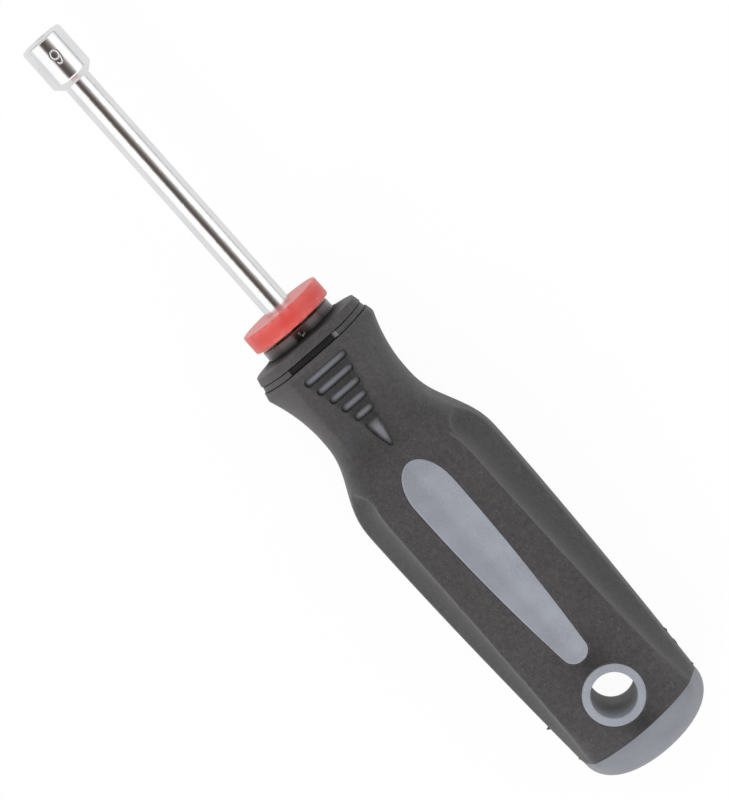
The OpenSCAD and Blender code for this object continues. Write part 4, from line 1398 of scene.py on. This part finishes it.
def buildFloor():
    # flat square grid, a hair below the part
    half = studio["floorSize"] / 2
    steps = np.linspace(-half, half, 9)
    x, y = np.meshgrid(steps, steps, indexing="ij")
    mesh = bpy.data.meshes.new("floor")
    points = np.stack([x, y, 0 * x - studio["floorDrop"] * mm], -1).reshape(-1, 3)
    quads = quadGrid(np.arange(x.size).reshape(x.shape)).reshape(-1, 4)[:, ::-1]
    mesh.from_pydata(points.tolist(), [], quads.tolist())
    mesh.materials.append(floorFinish())
    floor = bpy.data.objects.new("floor", mesh)
    bpy.context.scene.collection.objects.link(floor)


def toneRamp(tree, angle, stops, tint=(1.0, 1.0, 1.0)):
    # tones by angle in degrees, as one ramp over the whole turn; only the dark ones take the tint
    ramp = addNode(tree, "ValToRGB", {0: mapped(tree, angle, -180.0, 180.0)})
    for i, (place, tone) in enumerate(stops):
        stop = ramp.color_ramp.elements[i] if i < 2 else ramp.color_ramp.elements.new(0.5 + place / 360)
        share = max(0.0, 1 - 1.3 * tone)
        stop.position, stop.color = 0.5 + place / 360, grey(tone, [1 + share * (c - 1) for c in tint])
    return ramp.outputs[0]


def buildWorld():
    # the tent's brightness by angle across the tool, measured from the camera's side: white cloth, a thin
    # gap above the floor, pale floor; a dark warm panel with a soft edge hangs where the camera is;
    # mirrors see the tip's end a little greyer, and matte surfaces get more light from above than from
    # the sides
    world = bpy.data.worlds.new("tent")
    bpy.context.scene.world = world
    world.use_nodes = True
    tree, white, soft = world.node_tree, studio["tentTone"], studio["panelSoft"]
    way = addNode(tree, "SeparateXYZ", {0: addNode(tree, "TexCoord").outputs["Generated"]}).outputs
    lean = times(tree, calc(tree, "ARCTAN2", way["Y"], way["Z"]), 180 / math.pi)
    angle = calc(tree, "SUBTRACT", lean, studio["panelCentre"])
    aside = calc(tree, "ABSOLUTE", angle)
    path = addNode(tree, "LightPath").outputs
    cloth = toneRamp(tree, angle, [
        (-180, 0.7), (-108, 0.72), (-98, 0.88), (-90, 0.84), (-84, 0.9), (-76, white), (0, white),
        (56, white), (65, 0.92), (73, 0.53), (79, 0.62), (86, 0.7), (180, 0.7)])
    dark = toneRamp(tree, angle, [
        (-180, white), (-38, white), (-34, 0.9), (-30, 0.5), (-25, 0.16), (-17, 0.095), (-7, 0.1),
        (0, 0.15), (8, 0.25), (15, 0.4), (21, 0.78), (27, white), (180, white)], studio["panelTint"])
    front = mapped(tree, way["X"], studio["panelFrom"] - soft, studio["panelFrom"] + soft)
    back = mapped(tree, way["X"], studio["panelTo"] - soft, studio["panelTo"] + soft, 1.0, 0.0)
    near = mapped(tree, aside, *studio["panelHalf"], 1.0, 0.0)
    panel = times(tree, near, times(tree, front, back))
    ahead = times(tree, mapped(tree, way["X"], studio["tipFrom"], studio["tipTo"]), path["Is Glossy Ray"])
    cloth = blended(tree, ahead, cloth, grey(studio["tipTone"]))
    above = mapped(tree, aside, *studio["lightFall"], studio["topLight"], studio["sideLight"])
    strength = mapped(tree, path["Is Glossy Ray"], 0.0, 1.0, above, 1.0)
    tent = tree.nodes["Background"]
    setInputs(tree, tent, {"Color": blended(tree, panel, cloth, dark), "Strength": strength})
    plain = addNode(tree, "Background", {"Color": grey(1.0), "Strength": 1.0})
    direct = calc(tree, "MAXIMUM", path["Is Camera Ray"], path["Is Transmission Ray"])
    mixer = addNode(tree, "MixShader", {0: direct, 1: tent.outputs[0], 2: plain.outputs[0]})
    setInputs(tree, tree.nodes["World Output"], {"Surface": mixer.outputs[0]})


def addLamp(name, place, aim, size, power):
    # soft disk lamp turned to its aim, which mirrors don't see
    lamp = bpy.data.lights.new(name, "AREA")
    lamp.shape, lamp.size, lamp.energy = "DISK", size, power
    body = bpy.data.objects.new(name, lamp)
    bpy.context.scene.collection.objects.link(body)
    body.location = place
    body.rotation_euler = (Vector(aim) - Vector(place)).to_track_quat("-Z", "Y").to_euler()
    body.visible_glossy = False


# Camera: leans towards the tip and the far side, and turns so that the tool runs down to the right
view = {
    "tilt": 6.58, "roll": 5.67, "turn": 48.42, "distance": 2000.0, "focalPixels": 9462.0,
    "imageTall": 800, "aimX": 2.08, "aimY": 0.66, "sensor": 36.0, "clipFrom": 0.05, "clipTo": 20.0,
}


def buildCamera():
    # the view line leans by tilt and roll, and the picture turns about it
    data = bpy.data.cameras.new("camera")
    data.sensor_width = view["sensor"]
    data.lens = view["focalPixels"] * view["sensor"] / view["imageTall"]
    data.clip_start, data.clip_end = view["clipFrom"], view["clipTo"]
    tilt, roll, turn = (math.radians(view[key]) for key in ("tilt", "roll", "turn"))
    lean = Vector((-math.sin(tilt), math.sin(roll), 0))
    lean.z = math.sqrt(1 - lean.length_squared)
    along = (Vector((1, 0, 0)) - lean * lean.x).normalized()
    across = lean.cross(along)
    right = along * math.cos(turn) + across * math.sin(turn)
    up = across * math.cos(turn) - along * math.sin(turn)
    camera = bpy.data.objects.new("camera", data)
    aim = Vector((view["aimX"], view["aimY"], axisZ)) * mm
    place = aim + lean * view["distance"] * mm
    camera.matrix_world = Matrix.Translation(place) @ Matrix((right, up, lean)).transposed().to_4x4()
    bpy.context.scene.collection.objects.link(camera)
    bpy.context.scene.camera = camera


buildFloor()
buildWorld()
addLamp("keyLamp", studio["keyPlace"], studio["keyAim"], studio["keySize"], studio["keyPower"])
buildCamera()
bpy.context.scene.view_settings.view_transform = "Standard"
print("studio and camera set")
